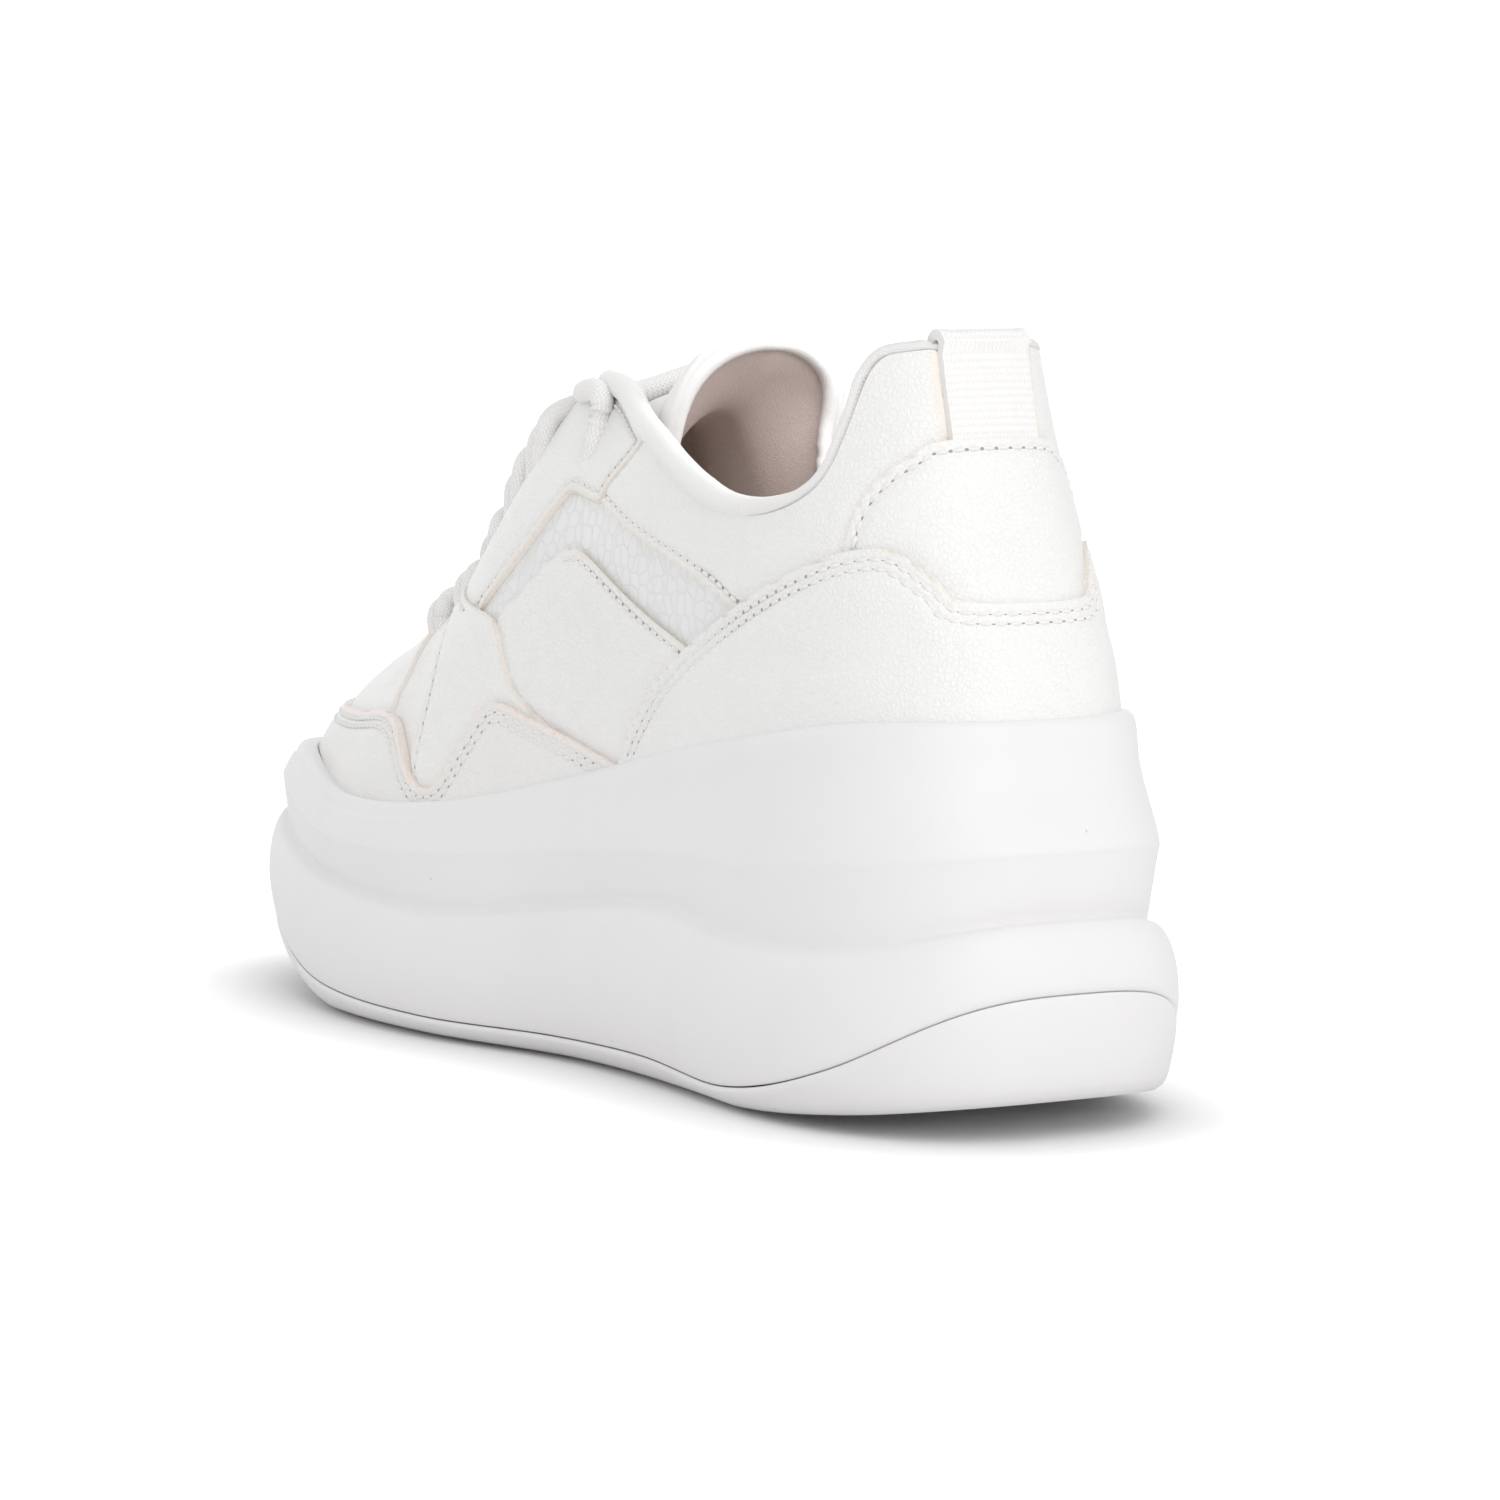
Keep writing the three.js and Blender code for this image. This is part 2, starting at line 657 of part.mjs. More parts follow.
// One lace crossing between two eyelet pairs, or a bar across a single pair
function makeCrossing(from, to) {
  const apart = (laceRadius + 2 * gap) / (soleLength - heelConeLength - toeBoxLength);
  const end = from === to ? apart : -apart;
  const hold = (index, shift, sign, share) => {
    const { at, out, stay } = eyelets[index];
    const lift = gap + laceRadius + 1.5 * facetRoom + stay * (gap + panelThick);
    return skinAcross(at + shift, sign * out * ballWidth * share, lift);
  };
  const run = (sign) => {
    const a = hold(from, apart, sign, 1);
    const b = hold(from, apart, sign, 0.75);
    const c = hold(to, end, -sign, 0.75);
    const d = hold(to, end, -sign, 1);
    const middle = b.clone().add(c).multiplyScalar(0.5);
    middle.z += laceRadius * 0.85;
    const curve = new THREE.CatmullRomCurve3([a, b, middle, c, d]);
    return toSolid(sweepRound(curve.getPoints(6), laceRadius, 6));
  };
  return toGeometry(from === to ? run(1) : run(1).add(run(-1)));
}

// Where the skin meets the collar line at a turn round the last
function collarPoint(turn, grow) {
  let low = 0;
  let high = Math.PI / 2;
  let point;
  for (let step = 0; step < 24; step += 1) {
    const rise = (low + high) / 2;
    point = skinPoint(roundTurn(turn, squareness(rise)), rise, grow);
    const at = point.x / soleLength;
    if (point.z < sideHeight(at, along(collarLine, 'up', at))) {
      low = rise;
    } else {
      high = rise;
    }
  }
  return point;
}

// Padded binding on the collar's edge, from one throat corner round the heel to the other.
// It lies along the wall's edge, square to the edge's direction within the skin, and is thinner
// round the heel.
const bindingAt = (share) => {
  const forward = Math.min(Math.max((Math.abs(share - 0.5) - 0.25) / 0.11, 0), 1);
  return mix(bindingHeelRadius, bindingRadius, forward);
};

function makeBinding() {
  const turnAt = (i) => (1 + mix(-collarReach, collarReach, i / collarSteps)) % 1;
  const edge = [];
  for (let i = 0; i <= collarSteps; i += 1) {
    edge.push(collarPoint(turnAt(i), gap / 2));
  }
  const path = edge.map((point, i) => {
    const before = edge[Math.max(i - 1, 0)];
    const after = edge[Math.min(i + 1, collarSteps)];
    const ahead = after.clone().sub(before).normalize();
    const outward = collarPoint(turnAt(i), 1).sub(point);
    const upward = new THREE.Vector3().crossVectors(outward, ahead).normalize();
    upward.multiplyScalar(Math.sign(upward.z) * (bindingAt(i / collarSteps) + gap + facetRoom));
    return point.clone().add(upward);
  });
  return sweepRound(path, bindingAt);
}

// Point of the heel's skin at a distance across and a height, found by halving twice
function heelPoint(y, z, grow) {
  const halve = (low, high, place, tooLow) => {
    let [a, b] = [low, high];
    for (let step = 0; step < 20; step += 1) {
      const middle = (a + b) / 2;
      [a, b] = tooLow(place(middle)) ? [middle, b] : [a, middle];
    }
    return place((a + b) / 2);
  };
  const turned = (rise) => halve(
    0,
    0.15,
    (turn) => skinPoint(roundTurn(y >= 0 ? turn : 1 - turn, squareness(rise)), rise, grow),
    (point) => Math.abs(point.y) < Math.abs(y),
  );
  return halve(0.1, Math.PI / 2, turned, (point) => point.z < z);
}

// Pull tab: a webbing strip from the patch up over the collar's edge and down inside
function makeHeelTab() {
  const sections = 4;
  const levels = 4;
  const bends = 4;
  const inner = gap + panelThick + gap + facetRoom;
  const lining = -upperWall - gap - facetRoom;
  const round = bindingHeelRadius + gap + facetRoom;
  const rings = [];
  for (let s = 0; s <= sections; s += 1) {
    const y = mix(tabWidth / 2, -tabWidth / 2, s / sections);
    const at = heelPoint(y, heelHeight + upperHeight * 0.8, 0).x / soleLength;
    const top = sideHeight(at, along(collarLine, 'up', at));
    const foot = sideHeight(at, along(patchEdge, 'up', at)) + gap;
    const edge = heelPoint(y, top, gap / 2);
    const outward = heelPoint(y, top, 1 + gap / 2).sub(edge).normalize();
    const centre = edge.clone().add(new THREE.Vector3(0, 0, round));
    const far = [];
    const near = [];
    for (let k = 0; k <= levels; k += 1) {
      const z = mix(foot, top, k / levels);
      far.push(heelPoint(y, z, inner + tabThick));
      near.push(heelPoint(y, z, inner));
    }
    for (let k = 0; k < bends; k += 1) {
      const angle = mix(Math.PI / 8, Math.PI * 0.9, k / (bends - 1));
      const spoke = outward.clone().multiplyScalar(Math.cos(angle));
      spoke.z = Math.sin(angle);
      far.push(centre.clone().addScaledVector(spoke, (round + tabThick) / Math.cos(Math.PI / 10)));
      near.push(centre.clone().addScaledVector(spoke, round / Math.cos(Math.PI / 10)));
    }
    for (let k = 0; k <= levels; k += 1) {
      const z = top - tabInside * (k / levels);
      far.push(heelPoint(y, z, lining - tabThick));
      near.push(heelPoint(y, z, lining));
    }
    rings.push([...far, ...near.reverse()]);
  }
  return stackRings(rings);
}

const finishes = {
  leather: { color: 0xeeeeee, roughness: 0.5, metalness: 0 },
  rubber: { color: 0xe7e6e7, roughness: 0.55, metalness: 0 },
  lining: { color: 0xa99793, roughness: 0.9, metalness: 0 },
  webbing: { color: 0xf4f3f1, roughness: 0.85, metalness: 0 },
};

const sneaker = new THREE.Group();
sneaker.position.x = -soleLength / 2;

function addPiece(name, geometry, finish) {
  const mesh = new THREE.Mesh(geometry, new THREE.MeshStandardMaterial(finishes[finish]));
  mesh.name = name;
  sneaker.add(mesh);
}

addPiece('outsole', makeOutsole(), 'rubber');
addPiece('midsole', makeMidsole(), 'rubber');
addPiece('insole', makeInsole(), 'lining');
addPiece('upper', makeUpper(), 'leather');
addPiece('tongue', makeTongue(), 'leather');
addPiece('heel_foxing', makePanel('foxing', []), 'leather');
addPiece('heel_patch', makePanel('patch', ['foxing']), 'leather');
addPiece('toe_mudguard', makePanel('mudguard', []), 'leather');
addPiece('collar_panel', makePanel('collarPanel', ['foxing', 'patch', 'eyestay']), 'leather');
for (const [side, from, to] of [['outer', 0, ballWidth], ['inner', -ballWidth, 0]]) {
  addPiece(`wing_${side}`, makePanel('wing', ['mudguard'], from, to), 'leather');
  addPiece(`quarter_${side}`, makePanel('quarter', ['foxing', 'wing', 'mudguard'], from, to), 'leather');
  addPiece(`eyestay_${side}`, makePanel('eyestay', ['wing'], from, to), 'leather');
}
addPiece('collar_binding', makeBinding(), 'leather');
addPiece('heel_tab', makeHeelTab(), 'webbing');
eyelets.forEach((row, i) => {
  addPiece(`lace_${i + 1}`, makeCrossing(i, Math.min(i + 1, eyelets.length - 1)), 'webbing');
});

export default sneaker;
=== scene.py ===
import math

import bmesh
import bpy
import numpy as np
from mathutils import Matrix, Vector


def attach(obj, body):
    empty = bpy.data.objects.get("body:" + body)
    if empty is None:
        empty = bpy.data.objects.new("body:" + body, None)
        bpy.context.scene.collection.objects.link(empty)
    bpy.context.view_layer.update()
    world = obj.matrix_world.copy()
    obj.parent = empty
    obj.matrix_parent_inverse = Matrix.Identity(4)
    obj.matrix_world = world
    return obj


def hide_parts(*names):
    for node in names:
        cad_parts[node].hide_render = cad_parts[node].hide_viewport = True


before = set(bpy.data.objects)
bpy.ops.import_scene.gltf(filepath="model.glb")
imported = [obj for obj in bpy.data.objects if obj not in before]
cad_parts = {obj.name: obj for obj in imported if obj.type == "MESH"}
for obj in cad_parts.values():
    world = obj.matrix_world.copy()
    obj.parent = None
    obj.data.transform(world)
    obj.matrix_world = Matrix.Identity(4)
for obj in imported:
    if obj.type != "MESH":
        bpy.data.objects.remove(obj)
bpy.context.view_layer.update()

mm = 0.001

# Driving sizes of the shoe, in millimetres, with x counted from the heel
soleLength = 278.0
ballWidth = 99.0
heelHeight = 74.4
foreHeight = 44.3
toeSpring = 14.0
heelBevel = 8.0
endSquareness = 3.1
heelShare = 0.35
rimInset = 6.4
rimHeelInset = 10.5
lipWidth = 2.6
seatDepth = 9.0
instepHeight = 78.0
upperHeight = 67.0
upperWall = 2.0
heelRoundness = 2.5
toeBoxLength = 29.0
heelConeLength = 24.0
gap = 0.3
insoleThick = 5.0
tongueThick = 6.5
tongueGap = 0.8
laceRadius = 2.3
bindingRadius = 2.5
bindingHeelRadius = 1.2
collarReach = 0.25
tabWidth = 18.0
tabThick = 1.6
tabInside = 12.0

# Half widths of the sole as shares of ballWidth
soleWidths = {
    "at": [0.0, 0.12, 0.3, 0.45, 0.6, 0.74, 0.88, 1.0],
    "outer": [0.44, 0.452, 0.378, 0.372, 0.47, 0.498, 0.46, 0.41],
    "inner": [0.455, 0.475, 0.4, 0.37, 0.44, 0.503, 0.485, 0.43],
}
# Side lines of the sole: rim between foreHeight (0) and heelHeight (1), the rest as shares of the wall
soleLines = {
    "at": [0.0, 0.1, 0.22, 0.34, 0.46, 0.6, 0.75, 0.9, 1.0],
    "tread": [1.0, 0.42, 0.0, 0.0, 0.0, 0.0, 0.0, 0.5, 1.0],
    "rise": [1.0, 0.963, 0.804, 0.615, 0.362, 0.083, 0.0, 0.196, 0.14],
    "groove": [0.36, 0.165, 0.068, 0.086, 0.09, 0.1, 0.147, 0.29, 0.404],
    "step": [0.55, 0.455, 0.466, 0.543, 0.551, 0.547, 0.632, 0.681, 0.777],
    "ridge": [0.7, 0.66, 0.66, 0.7, 0.74, 0.78, 0.82, 0.86, 0.9],
}
# Sections of the last from heel to toe
lastSections = {
    "at": [0.0, 0.06, 0.19, 0.3, 0.382, 0.485, 0.56, 0.63, 0.71, 0.784, 0.857, 0.946, 1.0],
    "crest": [1.6, 1.53, 1.38, 1.2, 1.04, 1.08, 1.09, 0.98, 0.75, 0.62, 0.49, 0.315, 0.2],
    "shift": [0.0, 0.0, 0.0, 0.0, -0.01, -0.015, -0.02, -0.02, -0.025, -0.03, -0.03, -0.03, -0.03],
    "swell": [0.0, 0.03, 0.1, 0.12, 0.12, 0.04, 0.02, 0.0, 0.0, 0.0, 0.0, 0.0, 0.0],
    "flank": [1.8, 1.8, 1.9, 2.1, 2.4, 2.1, 1.8, 1.6, 1.45, 1.5, 1.5, 1.75, 2.0],
    "crown": [2.0, 2.0, 2.1, 2.2, 2.2, 1.9, 1.75, 1.6, 1.5, 1.5, 1.6, 1.85, 2.3],
}
heelLean = {
    "at": [0.0, 0.14, 0.237, 0.3, 0.434, 0.578, 1.0],
    "lean": [0.0, 0.08, 0.25, 0.4, 0.64, 0.8, 1.0],
}
collarLine = {
    "at": [0.0, 0.143, 0.156, 0.162, 0.17, 0.185, 0.215, 0.25, 0.285, 0.317, 0.351, 0.39, 0.445, 0.49, 0.54,
           0.6],
    "up": [0.965, 0.97, 0.92, 0.8, 0.69, 0.625, 0.594, 0.596, 0.626, 0.68, 0.76, 0.864, 0.98, 1.076, 1.16,
           1.4],
}
tongueRows = {
    "at": [0.35, 0.38, 0.43, 0.5, 0.6, 0.75, 0.86],
    "spread": [0.74, 0.76, 0.74, 0.7, 0.6, 0.5, 0.42],
    "thick": [0.8, 1.25, 1.0, 1.0, 0.9, 0.7, 0.4],
    "sink": [0.2, 0.0, 0.6, 1.1, 0.9, 0.1, -0.07],
}
throat = {"top": 0.45, "topHalf": 0.12, "toe": 0.745, "toeHalf": 0.1}

# Cut lines of the overlays in side view: place along the sole, height above its rim
seamLines = {
    "foxing": [(-0.05, 0.29), (0.064, 0.295), (0.086, 0.35), (0.114, 0.438), (0.14, 0.453), (0.177, 0.429),
               (0.248, 0.356), (0.333, 0.245), (0.38, 0.145), (0.412, 0.01), (0.43, -0.2)],
    "patch": [(-0.05, 0.74), (0.095, 0.735), (0.123, 0.687), (0.144, 0.585), (0.15, 0.44), (0.15, 0.3)],
    "mudguard": [(1.05, 0.1), (0.9, 0.11), (0.836, 0.15), (0.773, 0.217), (0.741, 0.238), (0.713, 0.225),
                 (0.687, 0.172), (0.66, 0.09), (0.635, 0.04), (0.612, 0.055), (0.59, 0.157), (0.568, 0.25),
                 (0.55, 0.255), (0.518, 0.191), (0.451, 0.057), (0.41, -0.03), (0.38, -0.2)],
    "wing": [(0.44, -0.15), (0.482, 0.1), (0.504, 0.166), (0.541, 0.291), (0.559, 0.401), (0.57, 0.48),
             (0.588, 0.533), (0.623, 0.57), (0.672, 0.62)],
    "vamp": [(0.68, 0.6), (0.672, 0.5), (0.66, 0.33), (0.658, 0.15), (0.655, 0.0), (0.652, -0.2)],
    "quarter": [(0.62, 0.3), (0.6, 0.45), (0.575, 0.51), (0.542, 0.598), (0.519, 0.65), (0.5, 0.66),
                (0.472, 0.618), (0.39, 0.41), (0.32, 0.26), (0.26, 0.13)],
    "eyestay": [(0.68, 0.36), (0.63, 0.5), (0.6, 0.564), (0.559, 0.699), (0.53, 0.81), (0.515, 0.838),
                (0.49, 0.8), (0.468, 0.775), (0.455, 0.815), (0.416, 0.885), (0.38, 0.97), (0.35, 1.1)],
    "toePatch": [(0.738, -0.2), (0.738, 0.1), (0.741, 0.24), (0.752, 0.36), (0.758, 0.5), (0.758, 0.8)],
    "collarPanel": [(0.52, 0.87), (0.48, 0.8), (0.445, 0.722), (0.39, 0.603), (0.294, 0.422), (0.24, 0.32),
                    (0.12, 0.25), (-0.05, 0.25)],
}

# Eyelet pairs from the top down: station on the last and distance from the crest
eyelets = [(0.475, 0.19), (0.594, 0.165), (0.64, 0.16), (0.69, 0.155), (0.745, 0.15), (0.8, 0.145)]

# Soft troughs (depth below 0) and ridges on the leather: ends in side view, width and depth in mm
creases = [
    {"side": 1, "ends": ((0.09, 0.2), (0.2, 0.16)), "wide": 3.2, "deep": -0.5},
    {"side": 1, "ends": ((0.1, 0.27), (0.17, 0.25)), "wide": 2.6, "deep": -0.4},
    {"side": 1, "ends": ((0.11, 0.11), (0.24, 0.07)), "wide": 3.4, "deep": 0.4},
    {"side": 1, "ends": ((0.2, 0.56), (0.3, 0.46)), "wide": 4.0, "deep": -0.35},
    {"side": 1, "ends": ((0.33, 0.62), (0.4, 0.78)), "wide": 3.4, "deep": -0.4},
    {"side": 1, "ends": ((0.44, 0.35), (0.52, 0.45)), "wide": 4.4, "deep": -0.35},
    {"side": 1, "ends": ((0.72, 0.4), (0.78, 0.3)), "wide": 3.4, "deep": -0.6},
    {"side": 1, "ends": ((0.78, 0.42), (0.84, 0.3)), "wide": 3.2, "deep": -0.45},
    {"side": -1, "ends": ((0.09, 0.22), (0.2, 0.17)), "wide": 3.4, "deep": -0.5},
    {"side": -1, "ends": ((0.3, 0.6), (0.4, 0.76)), "wide": 3.6, "deep": -0.4},
    {"side": -1, "ends": ((0.46, 0.3), (0.55, 0.42)), "wide": 4.4, "deep": -0.4},
    {"side": -1, "ends": ((0.71, 0.36), (0.78, 0.26)), "wide": 3.4, "deep": -0.6},
    {"side": -1, "ends": ((0.77, 0.42), (0.83, 0.3)), "wide": 3.2, "deep": -0.45},
]


# Smooth curve through one column of a table
def along(table, column, at):
    xs = np.array(table["at"])
    ys = np.array(table[column])
    last = len(xs) - 1
    lower = np.maximum(np.arange(last + 1) - 1, 0)
    upper = np.minimum(np.arange(last + 1) + 1, last)
    slopes = (ys[upper] - ys[lower]) / (xs[upper] - xs[lower])
    place = np.clip(at, xs[0], xs[-1])
    i = np.clip(np.searchsorted(xs, place, side="left") - 1, 0, last - 1)
    span = xs[i + 1] - xs[i]
    t = (place - xs[i]) / span
    rise = ys[i + 1] - ys[i]
    bendIn = slopes[i] * span - rise
    bendOut = rise - slopes[i + 1] * span
    return ys[i] + t * rise + t * (1 - t) * ((1 - t) * bendIn + t * bendOut)


def mix(a, b, t):
    return a + (b - a) * t


def smoothStep(low, high, value):
    t = np.clip((value - low) / (high - low), 0, 1)
    return t * t * (3 - 2 * t)


# Heights of the sole's side lines at a share of its length
def lineHeights(at):
    rim = mix(foreHeight, heelHeight, along(soleLines, "rise", at))
    lift = np.where(np.asarray(at) < 0.5, heelBevel, toeSpring)
    return {
        "tread": lift * np.maximum(along(soleLines, "tread", at), 0),
        "groove": rim * along(soleLines, "groove", at),
        "step": rim * along(soleLines, "step", at),
        "ridge": rim * along(soleLines, "ridge", at),
        "rim": rim,
        "bed": rim - seatDepth,
    }


def sideHeight(at, up):
    return lineHeights(at)["rim"] + up * upperHeight


# Station and spread of a turn round the outline: 0 at the heel, 0.5 at the toe
def roundTurn(turn, squareness):
    c = np.cos(turn * 2 * np.pi)
    s = np.sin(turn * 2 * np.pi)
    station = (1 - np.sign(c) * np.abs(c) ** (2 / squareness)) / 2
    return station, np.abs(s) ** (2 / squareness), np.where(s >= 0, 1.0, -1.0)


def halfWidth(at, sign):
    return np.where(sign > 0, along(soleWidths, "outer", at), along(soleWidths, "inner", at)) * ballWidth


def squarenessAt(rise):
    return mix(endSquareness, heelRoundness, np.sin(rise) ** 0.5)


footInset = {"heel": rimHeelInset + lipWidth + gap, "side": rimInset + lipWidth + gap}


# Points of the last's skin, "grow" outside it
def skinPoint(station, spread, sign, rise, grow):
    up = np.sin(rise) ** (2 / along(lastSections, "flank", station))
    out = np.abs(np.cos(rise)) ** (2 / along(lastSections, "crown", station))
    heelFoot = footInset["heel"] - grow
    toeFoot = soleLength - footInset["side"] + grow
    footX = mix(heelFoot, toeFoot, station)
    heelX = heelFoot + heelConeLength * along(heelLean, "lean", up)
    toeX = toeFoot - toeBoxLength * (1 - np.cos(rise))
    crestX = mix(heelFoot + heelConeLength, toeFoot - toeBoxLength, station)
    foot = lineHeights(footX / soleLength)["bed"] + gap
    crest = lineHeights(crestX / soleLength)["rim"] + instepHeight * along(lastSections, "crest",
            station) + grow
    half = halfWidth(footX / soleLength, sign) - footInset["side"] + grow
    shift = along(lastSections, "shift", station) * ballWidth * up
    swell = along(lastSections, "swell", station) * np.sin(2 * rise) ** 2
    return np.stack([mix(heelX, toeX, station), shift + sign * half * spread * (out + swell),
            mix(foot, crest, up)], -1)


def skin(turn, rise, grow):
    station, spread, sign = roundTurn(turn, squarenessAt(rise))
    return skinPoint(station, spread, sign, rise, grow)


# Rise at which something becomes true along each column of turns, found by halving
def riseWhere(turn, passed, grow=0.0):
    a = np.full(np.shape(turn), 0.02)
    b = np.full(np.shape(turn), math.pi / 2)
    for _ in range(26):
        middle = (a + b) / 2
        done = passed(skin(turn, middle, grow))
        b = np.where(done, middle, b)
        a = np.where(done, a, middle)
    return (a + b) / 2


# Skin point at a station and a distance across from the crest
def skinAcross(station, across, grow):
    station = np.asarray(station, float)
    across = np.asarray(across, float)
    sign = np.where(across >= 0, 1.0, -1.0)
    low = np.full(station.shape, 0.05)
    high = np.full(station.shape, math.pi / 2)
    for _ in range(30):
        rise = (low + high) / 2
        n = squarenessAt(rise)
        spread = (1 - np.abs(1 - 2 * station) ** n) ** (1 / n)
        point = skinPoint(station, spread, sign, rise, grow)
        wide = sign * (point[..., 1] - across) > 0
        low = np.where(wide, rise, low)
        high = np.where(wide, high, rise)
    return point


# Turns spaced evenly by distance round the sole
def evenTurns(count):
    fine = np.linspace(0, 1, 20001)
    station, spread, sign = roundTurn(fine, 2.8)
    x = soleLength * station
    y = sign * spread * (halfWidth(station, 1) + halfWidth(station, -1)) / 2
    walked = np.concatenate([[0], np.cumsum(np.hypot(np.diff(x), np.diff(y)))])
    return np.interp(np.linspace(0, walked[-1], count + 1), walked, fine)[:-1]


# Smooth line through a seam's rows, as x and z in millimetres
def seamPoints(rows, perRow=8):
    p = np.array(rows, float)
    ends = np.vstack([p[0], p, p[-1]])
    line = []
    for i in range(len(p) - 1):
        for t in np.arange(perRow) / perRow:
            a, b, c, d = ends[i:i + 4]
            v0, v1 = (c - a) / 2, (d - b) / 2
            line.append((2 * b - 2 * c + v0 + v1) * t ** 3 + (3 * c - 3 * b - 2 * v0 - v1) * t ** 2 + v0
                        * t + b)
    line.append(p[-1])
    line = np.array(line)
    return np.stack([line[:, 0] * soleLength, sideHeight(line[:, 0], line[:, 1])], -1)


# Shortest distance from points to a line of segments
def lineDistance(line, x, y, closed=False):
    a = line
    b = np.roll(line, -1, 0)
    if not closed:
        a, b = a[:-1], b[:-1]
    best = np.full(len(x), 1e9)
    for p, q in zip(a, b):
        run = q - p
        length = max(float(run @ run), 1e-12)
        t = np.clip(((x - p[0]) * run[0] + (y - p[1]) * run[1]) / length, 0, 1)
        best = np.minimum(best, (x - p[0] - t * run[0]) ** 2 + (y - p[1] - t * run[1]) ** 2)
    return np.sqrt(best)


# Distance to an outline, above 0 inside it
def insideDistance(outline, x, y):
    inside = np.zeros(len(x), bool)
    for p, q in zip(outline, np.roll(outline, -1, 0)):
        if p[1] != q[1]:
            crosses = (p[1] > y) != (q[1] > y)
            inside ^= crosses & (x < (q[0] - p[0]) * (y - p[1]) / (q[1] - p[1]) + p[0])
    return np.where(inside, 1, -1) * lineDistance(outline, x, y, True)


floorLine = -60.0
ceiling = 400.0
seams = {name: seamPoints(rows) for name, rows in seamLines.items()}


def closedWith(line, height):
    return np.vstack([line, [line[-1][0], height], [line[0][0], height]])


regions = {
    "foxing": closedWith(seams["foxing"], floorLine),
    "patch": closedWith(seams["patch"], floorLine),
    "mudguard": closedWith(seams["mudguard"], floorLine),
    "wing": np.vstack([seams["wing"], seams["vamp"]]),
    "quarter": closedWith(seams["quarter"], floorLine),
    "eyestay": closedWith(seams["eyestay"], ceiling),
    "collarPanel": closedWith(seams["collarPanel"], ceiling),
    "toePatch": np.vstack([seams["toePatch"], [[1.2 * soleLength, ceiling], [1.2 * soleLength, floorLine]]]),
}

collarAt = np.linspace(0, 0.6, 240)
collarCut = np.stack([collarAt * soleLength, sideHeight(collarAt, along(collarLine, "up", collarAt))], -1)
collarCut = np.vstack([[-0.1 * soleLength, collarCut[0][1]], collarCut])
collarRegion = closedWith(collarCut, ceiling)

throatMiddle = float(along(lastSections, "shift", 0.7)) * ballWidth
throatEnd = throat["toe"] * soleLength
throatToe = throat["toeHalf"] * ballWidth
throatTop = throat["topHalf"] * ballWidth
throatArc = np.linspace(-math.pi / 2, math.pi / 2, 24)
throatOutline = np.array(
    [(throat["top"] * soleLength - 40, throatMiddle - throatTop * 1.3),
     (throat["top"] * soleLength, throatMiddle - throatTop)]
    + [(throatEnd - throatToe + throatToe * math.cos(a),
        throatMiddle + throatToe * math.sin(a)) for a in throatArc]
    + [(throat["top"] * soleLength, throatMiddle + throatTop),
       (throat["top"] * soleLength - 40, throatMiddle + throatTop * 1.3)])


def collarRoom(p):
    return -insideDistance(collarRegion, p[:, 0], p[:, 2])


def throatRoom(p):
    return -insideDistance(throatOutline, p[:, 0], p[:, 1])


# Bend of the leather by the listed creases and a slow, slight unevenness
def creaseHeight(p, sign):
    at = p[:, 0] / soleLength
    height = 0.16 * np.sin(p[:, 0] / 13 + p[:, 2] / 17) * np.sin(p[:, 2] / 11 - p[:, 0] / 29 + sign)
    for fold in creases:
        (a0, u0), (a1, u1) = fold["ends"]
        start = np.array([a0 * soleLength, float(sideHeight(a0, u0))])
        end = np.array([a1 * soleLength, float(sideHeight(a1, u1))])
        run = end - start
        t = ((p[:, 0] - start[0]) * run[0] + (p[:, 2] - start[1]) * run[1]) / (run @ run)
        held = np.clip(t, 0, 1)
        far = np.hypot(p[:, 0] - start[0] - held * run[0], p[:, 2] - start[1] - held * run[1])
        fade = smoothStep(-0.25, 0.25, t) * smoothStep(-0.25, 0.25, 1 - t)
        height = height + np.where(sign == fold["side"],
                                   fold["deep"] * fade * np.exp(-(far / fold["wide"]) ** 2), 0)
    return height * smoothStep(0.02, 0.1, (p[:, 2] - lineHeights(at)["rim"]) / upperHeight)


print("tables ready")


# Points of the shoe's own sizes in the shared frame
def place(points):
    return (np.asarray(points, float) - [soleLength / 2, 0, 0]) * mm


# Smooth curve through points, or a smooth skin through rings, with "per" steps between two
def curveThrough(points, per):
    p = np.asarray(points, float)
    gaps = np.sqrt(np.sqrt(((p[1:] - p[:-1]) ** 2).sum(-1)).reshape(len(p) - 1, -1).mean(1))
    shape = [-1] + [1] * (p.ndim - 1)
    slopes = (p[1:] - p[:-1]) / gaps.reshape(shape)
    before, after = gaps[:-1].reshape(shape), gaps[1:].reshape(shape)
    inner = (slopes[:-1] * after + slopes[1:] * before) / (before + after)
    ends = np.concatenate([slopes[:1], inner, slopes[-1:]])
    rows = []
    for i, span in enumerate(gaps):
        for t in np.arange(per) / per:
            h = t * t * (3 - 2 * t)
            rows.append(p[i] * (1 - h) + p[i + 1] * h
                        + span * (ends[i] * t * (1 - t) ** 2 - ends[i + 1] * t * t * (1 - t)))
    rows.append(p[-1])
    return np.array(rows)


noSeam = 9.0


# Gathers the parts of one piece: points in mm, faces, a material number, seam distance and UV
def newPile():
    return {"points": [], "faces": [], "slots": [], "seam": [], "uv": [], "count": 0}


